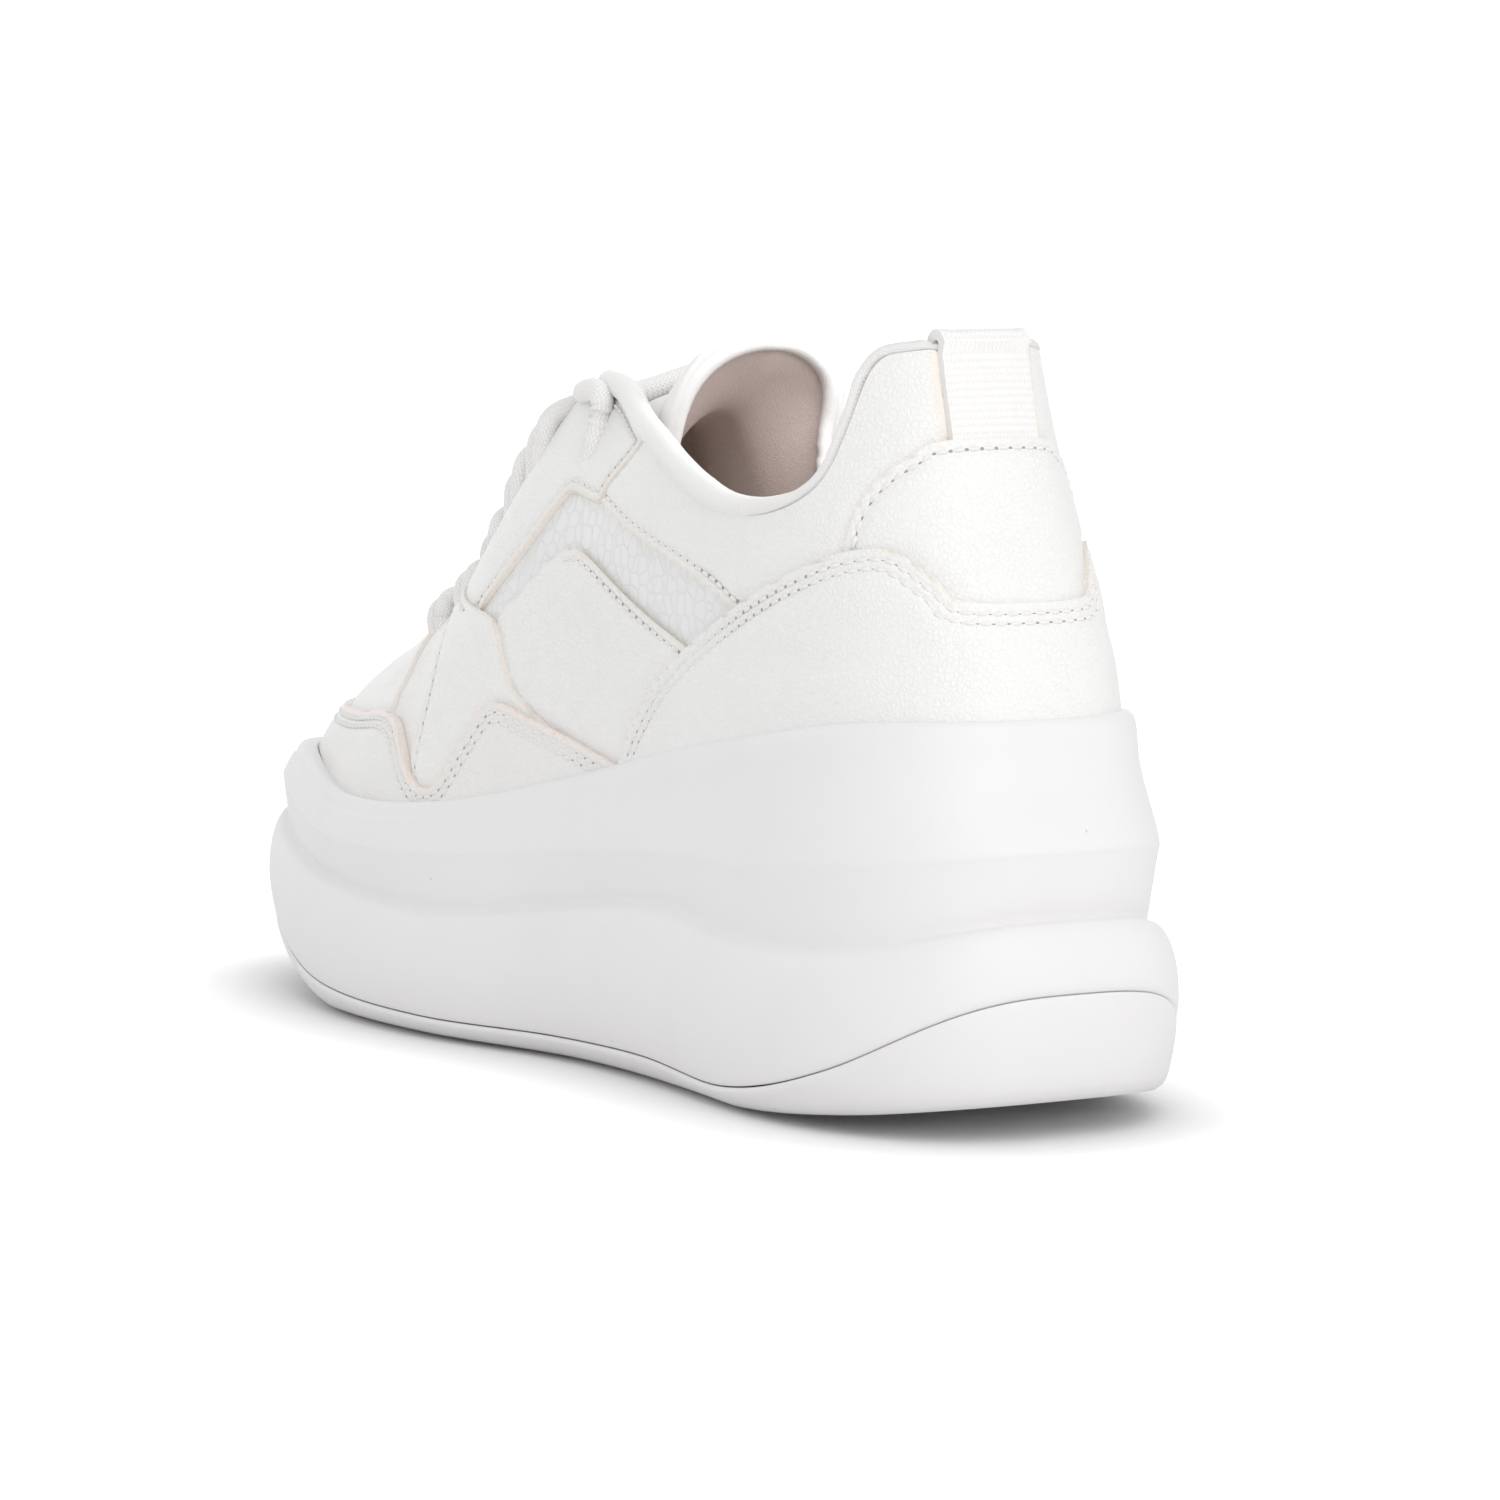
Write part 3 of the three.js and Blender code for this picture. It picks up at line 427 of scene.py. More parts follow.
def addFaces(pile, faces, slot, start=0, uv=None):
    faces = [tuple(dict.fromkeys(f)) for f in (np.asarray(faces) + start).tolist()]
    pile["faces"] += faces
    pile["slots"] += np.broadcast_to(slot, len(faces)).tolist()
    pile["uv"] += [[(0, 0)] * len(f) for f in faces] if uv is None else np.asarray(uv).tolist()


def addTo(pile, points, faces, slot, seam=None, uv=None):
    points = np.asarray(points, float).reshape(-1, 3)
    addFaces(pile, faces, slot, pile["count"], uv)
    pile["points"].append(points)
    pile["seam"].append(np.full(len(points), noSeam) if seam is None else seam)
    pile["count"] += len(points)


def makePiece(name, pile, materials, nodes, sharp=40):
    mesh = bpy.data.meshes.new(name + "_shown")
    mesh.from_pydata(place(np.vstack(pile["points"])).tolist(), [], pile["faces"])
    for material in materials:
        mesh.materials.append(material)
    mesh.polygons.foreach_set("material_index", pile["slots"])
    mesh.polygons.foreach_set("use_smooth", [True] * len(mesh.polygons))
    mesh.attributes.new("seam", "FLOAT", "POINT").data.foreach_set("value", np.concatenate(pile["seam"]))
    flat = np.array([corner for face in pile["uv"] for corner in face], float)
    mesh.uv_layers.new(name="flat").data.foreach_set("uv", flat.ravel())
    work = bmesh.new()
    work.from_mesh(mesh)
    bmesh.ops.recalc_face_normals(work, faces=work.faces)
    work.to_mesh(mesh)
    work.free()
    mesh.set_sharp_from_angle(angle=math.radians(sharp))
    piece = bpy.data.objects.new(name + "_shown", mesh)
    bpy.context.collection.objects.link(piece)
    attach(piece, "root")
    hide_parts(*nodes)
    print("made", name, len(mesh.polygons))
    return piece


# Faces between rings of equal count, with UV as millimetres or shares given per ring and place
def ringFaces(rings, count, across=1.0, run=1.0):
    r, i = np.meshgrid(np.arange(rings - 1), np.arange(count), indexing="ij")
    r, i = r.ravel(), i.ravel()
    j = (i + 1) % count
    faces = np.stack([r * count + j, r * count + i, (r + 1) * count + i, (r + 1) * count + j], -1)
    u0, u1 = i / count * across, (i + 1) / count * across
    v0, v1 = r / (rings - 1) * run, (r + 1) / (rings - 1) * run
    uv = np.stack([np.stack([u1, v0], -1), np.stack([u0, v0], -1), np.stack([u0, v1], -1),
            np.stack([u1, v1], -1)], 1)
    return faces, uv


# Strips from side to side that close a ring whose turns mirror each other
def capFaces(first, count):
    i = np.arange(count // 2)
    return np.stack([first + i, first + i + 1, first + count - i - 1, first + (count - i) % count], -1)


# Tube along a path, its radius a number or one for each point
def addTube(pile, path, radius, slot, sides):
    path = np.asarray(path, float)
    radius = np.broadcast_to(np.asarray(radius, float), len(path))
    ahead = np.gradient(path, axis=0)
    ahead /= np.linalg.norm(ahead, axis=1)[:, None]
    across = np.cross(ahead, [0, 0, 1])
    across /= np.linalg.norm(across, axis=1)[:, None]
    up = np.cross(across, ahead)
    angle = np.arange(sides) / sides * 2 * np.pi
    rings = path[:, None] + radius[:, None, None] * (
        np.cos(angle)[None, :, None] * across[:, None] + np.sin(angle)[None, :, None] * up[:, None])
    walked = float(np.linalg.norm(np.diff(path, axis=0), axis=1).sum())
    faces, uv = ringFaces(len(path), sides, 2 * math.pi * float(radius.mean()), walked)
    points = np.vstack([rings.reshape(-1, 3), path[:1], path[-1:]])
    addTo(pile, points, faces, slot, uv=uv)
    i = np.arange(sides)
    last = (len(path) - 1) * sides
    caps = np.concatenate([np.stack([i, (i + 1) % sides, np.full(sides, len(points) - 2)], -1),
                           np.stack([last + (i + 1) % sides, last + i, np.full(sides, len(points) - 1)],
                                    -1)])
    addFaces(pile, caps, slot if np.ndim(slot) == 0 else slot[0], pile["count"] - len(points))


soleLook = {"outsoleCount": 360, "midsoleCount": 420, "insoleCount": 160, "rowsBetween": 4, "uvRound": 600,
            "uvUp": 40, "sharp": 50, "insoleSharp": 60}


def outlinePoints(turn, inset):
    station, spread, sign = roundTurn(turn, endSquareness)
    x = mix(inset["heel"], soleLength - inset["toe"], station)
    inward = mix(inset.get("tail", inset["side"]), inset["side"], np.minimum(x / (heelShare * soleLength), 1))
    return x, sign * (halfWidth(x / soleLength, sign) - inward) * spread


# Rings of the sole, each an inset at heel, tail, side and toe with a height from the side lines
def soleRings(turn, rows, per):
    rings = []
    for heel, tail, side, toe, height in rows:
        x, y = outlinePoints(turn, {"heel": heel, "tail": tail, "side": side, "toe": toe})
        rings.append(np.stack([x, y, height(lineHeights(x / soleLength))], -1))
    return curveThrough(rings, per)


# One solid of the sole, closed underneath and on top
def makeSolePiece(name, rows, count, material, sharp):
    pile = newPile()
    rings = soleRings(evenTurns(count), rows, soleLook["rowsBetween"])
    faces, uv = ringFaces(len(rings), count, soleLook["uvRound"], soleLook["uvUp"])
    addTo(pile, rings, faces, 0, uv=uv)
    for first in (0, (len(rings) - 1) * count):
        addFaces(pile, capFaces(first, count), 0)
    makePiece(name, pile, [material], [name], sharp)


print("making the materials")


def addNode(tree, kind, values=None, **settings):
    node = tree.nodes.new(kind)
    for key, value in settings.items():
        setattr(node, key, value)
    for key, value in (values or {}).items():
        if isinstance(value, bpy.types.NodeSocket):
            tree.links.new(value, node.inputs[key])
        else:
            node.inputs[key].default_value = value
    return node


# Arithmetic on sockets or numbers
def calc(tree, operation, *values):
    return addNode(tree, "ShaderNodeMath", dict(enumerate(values)), operation=operation).outputs[0]


def blend(tree, share, a, b):
    node = addNode(tree, "ShaderNodeMix", {0: share, 6: a, 7: b}, data_type="RGBA")
    return node.outputs[2]


# Empty node group with named inputs and outputs
def newGroup(name, inputs, outputs):
    group = bpy.data.node_groups.new(name, "ShaderNodeTree")
    for key, (kind, value) in inputs.items():
        socket = group.interface.new_socket(name=key, in_out="INPUT", socket_type=kind)
        if value is not None:
            socket.default_value = value
    for key in outputs:
        group.interface.new_socket(name=key, in_out="OUTPUT", socket_type="NodeSocketFloat")
    return group, group.nodes.new("NodeGroupInput"), group.nodes.new("NodeGroupOutput")


# Pebbled leather grain: fine cells between shallow creases, with pores
grainGroup, given, result = newGroup(
    "leatherGrain",
    {"Vector": ("NodeSocketVector", None), "Cell": ("NodeSocketFloat", 1.0)},
    ["Height", "Tone"])
scale = calc(grainGroup, "DIVIDE", 1000.0, given.outputs["Cell"])
warp = addNode(grainGroup, "ShaderNodeTexNoise", {"Vector": given.outputs["Vector"], "Scale": 400.0,
                                                  "Detail": 2.0})
shifted = addNode(grainGroup, "ShaderNodeVectorMath", {0: warp.outputs["Color"], 1: (0.0012, 0.0012, 0.0012)},
                  operation="MULTIPLY")
moved = addNode(grainGroup, "ShaderNodeVectorMath", {0: given.outputs["Vector"], 1: shifted.outputs[0]},
                operation="ADD")
cells = addNode(grainGroup, "ShaderNodeTexVoronoi", {"Vector": moved.outputs[0], "Scale": scale},
                feature="DISTANCE_TO_EDGE")
pebble = addNode(grainGroup, "ShaderNodeMapRange", {"Value": cells.outputs["Distance"], "From Max": 0.22},
                 interpolation_type="SMOOTHSTEP")
fine = addNode(grainGroup, "ShaderNodeTexNoise", {"Vector": given.outputs["Vector"], "Scale": 2600.0,
                                                  "Detail": 3.0})
slow = addNode(grainGroup, "ShaderNodeTexNoise", {"Vector": given.outputs["Vector"], "Scale": 60.0,
                                                  "Detail": 2.0})
height = calc(grainGroup, "MULTIPLY_ADD", pebble.outputs[0], 0.75,
        calc(grainGroup, "MULTIPLY", fine.outputs[0], 0.25))
grainGroup.links.new(calc(grainGroup, "MULTIPLY", height, calc(grainGroup, "MULTIPLY_ADD", slow.outputs[0],
                                                               0.8, 0.5)),
                     result.inputs["Height"])
grainGroup.links.new(pebble.outputs[0], result.inputs["Tone"])

# Painted cut edge: 1 on the edge, 0 beyond its width, both in millimetres
edgeGroup, given, result = newGroup(
    "paintedEdge",
    {"Seam": ("NodeSocketFloat", 9.0), "Width": ("NodeSocketFloat", 0.5)},
    ["Mask"])
share = calc(edgeGroup, "DIVIDE", given.outputs["Seam"], given.outputs["Width"])
mask = addNode(edgeGroup, "ShaderNodeMapRange", {"Value": share, "From Min": 0.7, "From Max": 1.3,
                                                 "To Min": 1.0,
                                                 "To Max": 0.0}, interpolation_type="SMOOTHSTEP")
edgeGroup.links.new(mask.outputs[0], result.inputs["Mask"])

# Slow blotches, as of handling and light dust
blotchGroup, given, result = newGroup(
    "softBlotches",
    {"Vector": ("NodeSocketVector", None), "Size": ("NodeSocketFloat", 30.0),
            "Share": ("NodeSocketFloat", 0.5)},
    ["Mask"])
scale = calc(blotchGroup, "DIVIDE", 1000.0, given.outputs["Size"])
noise = addNode(blotchGroup, "ShaderNodeTexNoise", {"Vector": given.outputs["Vector"], "Scale": scale,
                                                    "Detail": 4.0,
                                                    "Roughness": 0.6})
low = calc(blotchGroup, "SUBTRACT", 0.85, given.outputs["Share"])
mask = addNode(blotchGroup, "ShaderNodeMapRange", {"Value": noise.outputs[0], "From Min": low,
                                                   "From Max": 0.85},
               interpolation_type="SMOOTHSTEP")
blotchGroup.links.new(mask.outputs[0], result.inputs["Mask"])

# Small sparse specks, for moulding pits and dust
speckGroup, given, result = newGroup(
    "sparseSpecks",
    {"Vector": ("NodeSocketVector", None), "Apart": ("NodeSocketFloat", 25.0),
            "Size": ("NodeSocketFloat", 0.4)},
    ["Mask"])
scale = calc(speckGroup, "DIVIDE", 1000.0, given.outputs["Apart"])
cells = addNode(speckGroup, "ShaderNodeTexVoronoi", {"Vector": given.outputs["Vector"], "Scale": scale})
radius = calc(speckGroup, "DIVIDE", given.outputs["Size"], given.outputs["Apart"])
mask = addNode(speckGroup, "ShaderNodeMapRange", {"Value": cells.outputs["Distance"], "From Min": 0.0,
                                                  "From Max": radius, "To Min": 1.0, "To Max": 0.0},
               interpolation_type="SMOOTHSTEP")
speckGroup.links.new(mask.outputs[0], result.inputs["Mask"])

# Threads over and under in two directions, on UV in millimetres
weaveGroup, given, result = newGroup(
    "threadWeave",
    {"Vector": ("NodeSocketVector", None), "PitchX": ("NodeSocketFloat", 0.5),
            "PitchY": ("NodeSocketFloat", 0.5),
     "Slant": ("NodeSocketFloat", 0.0)},
    ["Height"])
axes = addNode(weaveGroup, "ShaderNodeSeparateXYZ", {"Vector": given.outputs["Vector"]})
leaned = calc(weaveGroup, "MULTIPLY_ADD", axes.outputs["Y"], given.outputs["Slant"], axes.outputs["X"])
backward = calc(weaveGroup, "MULTIPLY", given.outputs["Slant"], -1.0)
leanedBack = calc(weaveGroup, "MULTIPLY_ADD", axes.outputs["X"], backward, axes.outputs["Y"])
u = calc(weaveGroup, "DIVIDE", leaned, given.outputs["PitchX"])
v = calc(weaveGroup, "DIVIDE", leanedBack, given.outputs["PitchY"])
warpThread = calc(weaveGroup, "ABSOLUTE", calc(weaveGroup, "SINE", calc(weaveGroup, "MULTIPLY", u, math.pi)))
weftThread = calc(weaveGroup, "ABSOLUTE", calc(weaveGroup, "SINE", calc(weaveGroup, "MULTIPLY", v, math.pi)))
turnOver = calc(weaveGroup, "PINGPONG", calc(weaveGroup, "ADD", calc(weaveGroup, "FLOOR", u),
                                             calc(weaveGroup, "FLOOR", v)), 1.0)
woven = calc(weaveGroup, "ADD", calc(weaveGroup, "MULTIPLY", warpThread, turnOver),
             calc(weaveGroup, "MULTIPLY", weftThread, calc(weaveGroup, "SUBTRACT", 1.0, turnOver)))
weaveGroup.links.new(woven, result.inputs["Height"])

# Embossed scales, on UV in millimetres
scalesGroup, given, result = newGroup(
    "embossedScales",
    {"Vector": ("NodeSocketVector", None), "Size": ("NodeSocketFloat", 4.5)},
    ["Height"])
scale = calc(scalesGroup, "DIVIDE", 1.0, given.outputs["Size"])
cells = addNode(scalesGroup, "ShaderNodeTexVoronoi", {"Vector": given.outputs["Vector"], "Scale": scale,
                                                      "Randomness": 0.75}, feature="DISTANCE_TO_EDGE")
rounded = addNode(scalesGroup, "ShaderNodeMapRange", {"Value": cells.outputs["Distance"], "From Max": 0.12},
                  interpolation_type="SMOOTHERSTEP")
scalesGroup.links.new(rounded.outputs[0], result.inputs["Height"])


def newMaterial(name, roughness):
    material = bpy.data.materials.new(name)
    material.use_nodes = True
    tree = material.node_tree
    shader = tree.nodes["Principled BSDF"]
    shader.inputs["Roughness"].default_value = roughness
    where = addNode(tree, "ShaderNodeTexCoord")
    return material, tree, shader, where


def useGroup(tree, group, values):
    return addNode(tree, "ShaderNodeGroup", values, node_tree=group)


def addBump(tree, shader, height, depth):
    bump = addNode(tree, "ShaderNodeBump", {"Height": height, "Distance": depth * mm, "Strength": 1.0})
    tree.links.new(bump.outputs[0], shader.inputs["Normal"])


# Leather with grain, a painted edge by the seam distance, faint blotches and dust
def makeLeather(name, look):
    material, tree, shader, where = newMaterial(name, look["roughness"])
    flat = where.outputs["Object"]
    grain = useGroup(tree, grainGroup, {"Vector": flat, "Cell": look["cell"]})
    blotch = useGroup(tree, blotchGroup, {"Vector": flat, "Size": 34.0, "Share": 0.5})
    seam = addNode(tree, "ShaderNodeAttribute", attribute_name="seam")
    edge = useGroup(tree, edgeGroup, {"Seam": seam.outputs["Fac"], "Width": look["edgeWidth"]})
    colour = blend(tree, calc(tree, "MULTIPLY", calc(tree, "SUBTRACT", 1.0, grain.outputs["Tone"]),
                              look["creaseShade"]),
                   look["colour"], look["shade"])
    colour = blend(tree, calc(tree, "MULTIPLY", blotch.outputs["Mask"], look["wear"]), colour,
                   look["wearColour"])
    colour = blend(tree, edge.outputs["Mask"], colour, look["edgeColour"])
    foot = useGroup(tree, edgeGroup, {"Seam": calc(tree, "ADD", seam.outputs["Fac"], 1.0), "Width": 0.35})
    colour = blend(tree, calc(tree, "MULTIPLY", foot.outputs["Mask"], 0.6), colour, look["footColour"])
    tree.links.new(colour, shader.inputs["Base Color"])
    rough = calc(tree, "MULTIPLY_ADD", grain.outputs["Height"], look["roughSwing"], look["roughness"])
    tree.links.new(rough, shader.inputs["Roughness"])
    addBump(tree, shader, grain.outputs["Height"], look["depth"])
    return material


white = (0.84, 0.838, 0.835, 1)
leatherLook = {"colour": white, "shade": (0.80, 0.795, 0.785, 1), "creaseShade": 0.35,
        "edgeColour": (0.83, 0.785, 0.73, 1),
               "edgeWidth": 0.75, "footColour": (0.62, 0.50, 0.40, 1), "wear": 0.25, "wearColour": (0.84,
                       0.825, 0.80, 1), "cell": 1.1, "depth": 0.09,
               "roughness": 0.42, "roughSwing": 0.14}
leather = makeLeather("leather", leatherLook)
toeLeather = makeLeather("toe_leather", {**leatherLook, "colour": (0.805, 0.80, 0.79, 1),
                                         "edgeColour": (0.86, 0.78, 0.735, 1),
                                         "edgeWidth": 0.95})
softLeather = makeLeather("soft_leather", {**leatherLook, "cell": 0.75, "depth": 0.035, "roughness": 0.48})


def makeScales():
    material, tree, shader, where = newMaterial("scale_leather", 0.34)
    flat = addNode(tree, "ShaderNodeUVMap", uv_map="flat").outputs[0]
    scales = useGroup(tree, scalesGroup, {"Vector": flat, "Size": 3.4})
    grain = useGroup(tree, grainGroup, {"Vector": where.outputs["Object"], "Cell": 0.7})
    # Grooves between the scales darker than their tops: painted shade in the grooves
    colour = blend(tree, scales.outputs["Height"], (0.745, 0.75, 0.75, 1), (0.79, 0.795, 0.795, 1))
    tree.links.new(colour, shader.inputs["Base Color"])
    height = calc(tree, "MULTIPLY_ADD", grain.outputs["Height"], 0.08, scales.outputs["Height"])
    addBump(tree, shader, height, 0.07)
    return material


scaleLeather = makeScales()


# Moulded sole: near even, with pits, faint scuffs and a satin skin
def makeSole(name, look):
    material, tree, shader, where = newMaterial(name, look["roughness"])
    flat = where.outputs["Object"]
    pits = useGroup(tree, speckGroup, {"Vector": flat, "Apart": 17.0, "Size": 0.42})
    scuff = useGroup(tree, blotchGroup, {"Vector": flat, "Size": 22.0, "Share": 0.42})
    fine = addNode(tree, "ShaderNodeTexNoise", {"Vector": flat, "Scale": 1500.0, "Detail": 3.0})
    colour = blend(tree, calc(tree, "MULTIPLY", scuff.outputs["Mask"], look["wear"]), look["colour"],
                   look["wearColour"])
    colour = blend(tree, calc(tree, "MULTIPLY", pits.outputs["Mask"], 0.5), colour, (0.45, 0.42, 0.42, 1))
    tree.links.new(colour, shader.inputs["Base Color"])
    rough = calc(tree, "MULTIPLY_ADD", fine.outputs[0], 0.12, look["roughness"])
    tree.links.new(calc(tree, "MULTIPLY_ADD", scuff.outputs["Mask"], 0.1, rough), shader.inputs["Roughness"])
    height = calc(tree, "SUBTRACT", calc(tree, "MULTIPLY", fine.outputs[0], 0.06), pits.outputs["Mask"])
    addBump(tree, shader, height, look["depth"])
    return material


soleFoam = makeSole("sole_foam", {"colour": (0.80, 0.79, 0.797, 1), "wearColour": (0.76, 0.75, 0.755, 1),
                                  "wear": 0.35,
                                  "roughness": 0.5, "depth": 0.12})
soleRubber = makeSole("sole_rubber", {"colour": (0.79, 0.78, 0.785, 1),
        "wearColour": (0.74, 0.72, 0.715, 1), "wear": 0.45,
                                      "roughness": 0.46, "depth": 0.12})


# Cloth: woven or knitted threads on UV in millimetres, with loose fibres
def makeCloth(name, look):
    material, tree, shader, where = newMaterial(name, look["roughness"])
    flat = addNode(tree, "ShaderNodeUVMap", uv_map="flat").outputs[0]
    weave = useGroup(tree, weaveGroup, {"Vector": flat, "PitchX": look["pitch"][0],
                                        "PitchY": look["pitch"][1],
                                        "Slant": look["slant"]})
    fibres = addNode(tree, "ShaderNodeTexNoise", {"Vector": where.outputs["Object"], "Scale": 1800.0,
                                                  "Detail": 3.0})
    blotch = useGroup(tree, blotchGroup, {"Vector": where.outputs["Object"], "Size": 12.0, "Share": 0.5})
    colour = blend(tree, weave.outputs["Height"], look["shade"], look["colour"])
    colour = blend(tree, calc(tree, "MULTIPLY", blotch.outputs["Mask"], 0.3), colour, look["shade"])
    tree.links.new(colour, shader.inputs["Base Color"])
    shader.inputs["Sheen Weight"].default_value = 0.15
    height = calc(tree, "MULTIPLY_ADD", fibres.outputs[0], 0.3, weave.outputs["Height"])
    tree.links.new(calc(tree, "MULTIPLY_ADD", fibres.outputs[0], 0.1, look["roughness"] - 0.05),
                   shader.inputs["Roughness"])
    addBump(tree, shader, height, look["depth"])
    return material


laceCloth = makeCloth("lace_braid", {"colour": (0.93, 0.925, 0.915, 1), "shade": (0.80, 0.79, 0.775, 1),
                                     "pitch": (0.9, 0.9), "slant": 1.0, "depth": 0.09, "roughness": 0.85})
webbing = makeCloth("webbing", {"colour": (0.92, 0.91, 0.895, 1), "shade": (0.82, 0.805, 0.79, 1),
                                "pitch": (1.65, 0.45), "slant": 0.0, "depth": 0.08, "roughness": 0.85})
bindingCloth = makeCloth("binding_cloth", {"colour": (0.93, 0.925, 0.92, 1), "shade": (0.82, 0.805, 0.79, 1),
                                           "pitch": (0.6,
                                                     0.6), "slant": 1.0, "depth": 0.06, "roughness": 0.9})


def makeLining():
    material, tree, shader, where = newMaterial("lining_cloth", 0.88)
    flat = where.outputs["Object"]
    fine = addNode(tree, "ShaderNodeTexNoise", {"Vector": flat, "Scale": 1400.0, "Detail": 4.0})
    blotch = useGroup(tree, blotchGroup, {"Vector": flat, "Size": 26.0, "Share": 0.5})
    grain = useGroup(tree, grainGroup, {"Vector": flat, "Cell": 0.6})
    colour = blend(tree, calc(tree, "MULTIPLY", blotch.outputs["Mask"], 0.5), (0.62, 0.53, 0.49, 1),
            (0.54, 0.45, 0.41, 1))
    colour = blend(tree, calc(tree, "MULTIPLY", fine.outputs[0], 0.25), colour, (0.67, 0.58, 0.54, 1))
    tree.links.new(colour, shader.inputs["Base Color"])
    tree.links.new(calc(tree, "MULTIPLY_ADD", fine.outputs[0], 0.1, 0.82), shader.inputs["Roughness"])
    addBump(tree, shader, calc(tree, "ADD", fine.outputs[0], grain.outputs["Height"]), 0.06)
    return material


liningCloth = makeLining()


def makeThread(name, colour, roughness):
    material, tree, shader, where = newMaterial(name, roughness)
    twist = addNode(tree, "ShaderNodeTexNoise", {"Vector": where.outputs["Object"], "Scale": 3500.0,
                                                 "Detail": 2.0})
    tree.links.new(blend(tree, twist.outputs[0], tuple(0.88 * c for c in colour[:3]) + (1,), colour),
                   shader.inputs["Base Color"])
    tree.links.new(calc(tree, "MULTIPLY_ADD", twist.outputs[0], 0.1, roughness), shader.inputs["Roughness"])
    addBump(tree, shader, twist.outputs[0], 0.06)
    return material


thread = makeThread("thread", (0.86, 0.85, 0.83, 1), 0.7)
# Needle-hole colour: painted shade, dark cones standing in for the shadow inside the holes
needleHoleShade = makeThread("needle_hole_shade", (0.42, 0.37, 0.33, 1), 0.9)


print("making the sole")

makeSolePiece("outsole", [
    (9.0, 9.0, 11.0, 11.0, lambda h: h["tread"]),
    (2.6, 2.6, 5.0, 5.0, lambda h: h["tread"] + 0.8),
    (0.9, 0.8, 2.4, 2.4, lambda h: mix(h["tread"], h["groove"], 0.5)),
    (0.3, 0.2, 1.3, 1.3, lambda h: h["groove"] - gap / 2 - 0.6),
    (0.6, 0.5, 1.6, 1.6, lambda h: h["groove"] - gap / 2),
], soleLook["outsoleCount"], soleRubber, soleLook["sharp"])


# One row of the cup's lip, the same distance inside the rim all round
def lipRow(inside, below, side=0.0, toe=0.0):
    return (rimHeelInset + inside, rimInset + inside - side, rimInset + inside - side,
            rimInset + inside + toe,
            lambda h: h["rim"] - below)


makeSolePiece("midsole", [
    (0.6, 0.5, 1.6, 1.6, lambda h: h["groove"] + gap / 2),
    (0.2, 0.1, 1.2, 1.2, lambda h: h["groove"] + gap / 2 + 0.6),
    (0.2, 0.0, 0.0, 0.0, lambda h: mix(h["groove"], h["step"], 0.36)),
    (1.4, 1.2, 0.5, 0.4, lambda h: mix(h["groove"], h["step"], 0.7)),
    (3.8, 3.2, 2.2, 2.2, lambda h: mix(h["groove"], h["step"], 0.93)),
    (6.6, 4.6, 4.6, 4.2, lambda h: h["step"]),
    (6.2, 4.3, 4.3, 3.6, lambda h: mix(h["step"], h["ridge"], 0.25)),
    (4.3, 3.5, 3.5, 2.9, lambda h: mix(h["step"], h["ridge"], 0.88)),
    (3.9, 3.3, 3.3, 2.8, lambda h: h["ridge"]),
    (4.4, 3.5, 3.5, 3.0, lambda h: mix(h["ridge"], h["rim"], 0.09)),
    (rimHeelInset - 1.2, rimInset - 1.2, rimInset - 1.2, rimInset - 1.2,
            lambda h: mix(h["ridge"], h["rim"], 0.6)),
    lipRow(-0.4, 2.4), lipRow(0.5, 0.6), lipRow(1.8, 0.0), lipRow(2.9, 0.3, 0.0, 0.3), lipRow(4.6, 1.2,
            0.2, 0.6),
    lipRow(lipWidth, 4.0), lipRow(lipWidth, seatDepth),
], soleLook["midsoleCount"], soleFoam, soleLook["sharp"])

footHeel = footInset["heel"] + upperWall
footSide = footInset["side"] + upperWall


# One row of the footbed, inside the upper's wall, at a share of its thickness
def bedRow(inside, share):
    return (footHeel + inside, footSide + inside, footSide + inside, footSide + inside,
            lambda h: h["bed"] + gap + insoleThick * share)


makeSolePiece("insole", [bedRow(1.0, 0.0), bedRow(1.0, 0.4), bedRow(2.6, 1.0), bedRow(10.0, 0.85)],
              soleLook["insoleCount"], liningCloth, soleLook["insoleSharp"])


# Sheet of skin over ranges of turns and rises, as rows of turn and rise and its triangles
def skinSheet(turns, rises):
    t, r = np.meshgrid(turns, rises, indexing="ij")
    wide = len(rises)
    i, j = np.meshgrid(np.arange(len(turns) - 1), np.arange(wide - 1), indexing="ij")
    a = (i * wide + j).ravel()
    tris = np.concatenate([np.stack([a, a + wide, a + wide + 1], -1), np.stack([a, a + wide + 1, a + 1], -1)])
    return np.stack([t.ravel(), r.ravel()], -1), tris


# Cut a sheet's triangles along one level of a column; also gives the cut's new segments
def splitAt(rows, tris, column, level):
    above = (rows[:, column] > level)[tris]
    mixed = above.any(1) & ~above.all(1)
    cut, state = tris[mixed], above[mixed]
    if len(cut) == 0:
        return rows, tris, np.zeros((0, 2), int)
    lone = np.where(state.sum(1) == 1, state.argmax(1), (~state).argmax(1))
    each = np.arange(len(cut))
    a, b, c = cut[each, lone], cut[each, (lone + 1) % 3], cut[each, (lone + 2) % 3]
    edges = np.sort(np.concatenate([np.stack([a, b], 1), np.stack([a, c], 1)]), 1)
    found, index = np.unique(edges, axis=0, return_inverse=True)
    index = index.ravel() + len(rows)
    low, high = rows[found[:, 0]], rows[found[:, 1]]
    part = np.clip((level - low[:, column]) / (high[:, column] - low[:, column]), 0.03, 0.97)[:, None]
    ab, ac = index[:len(cut)], index[len(cut):]
    tris = np.vstack([tris[~mixed], np.stack([a, ab, ac], 1), np.stack([ab, b, c], 1),
            np.stack([ab, c, ac], 1)])
    return np.vstack([rows, low + part * (high - low)]), tris, np.stack([ab, ac], 1)


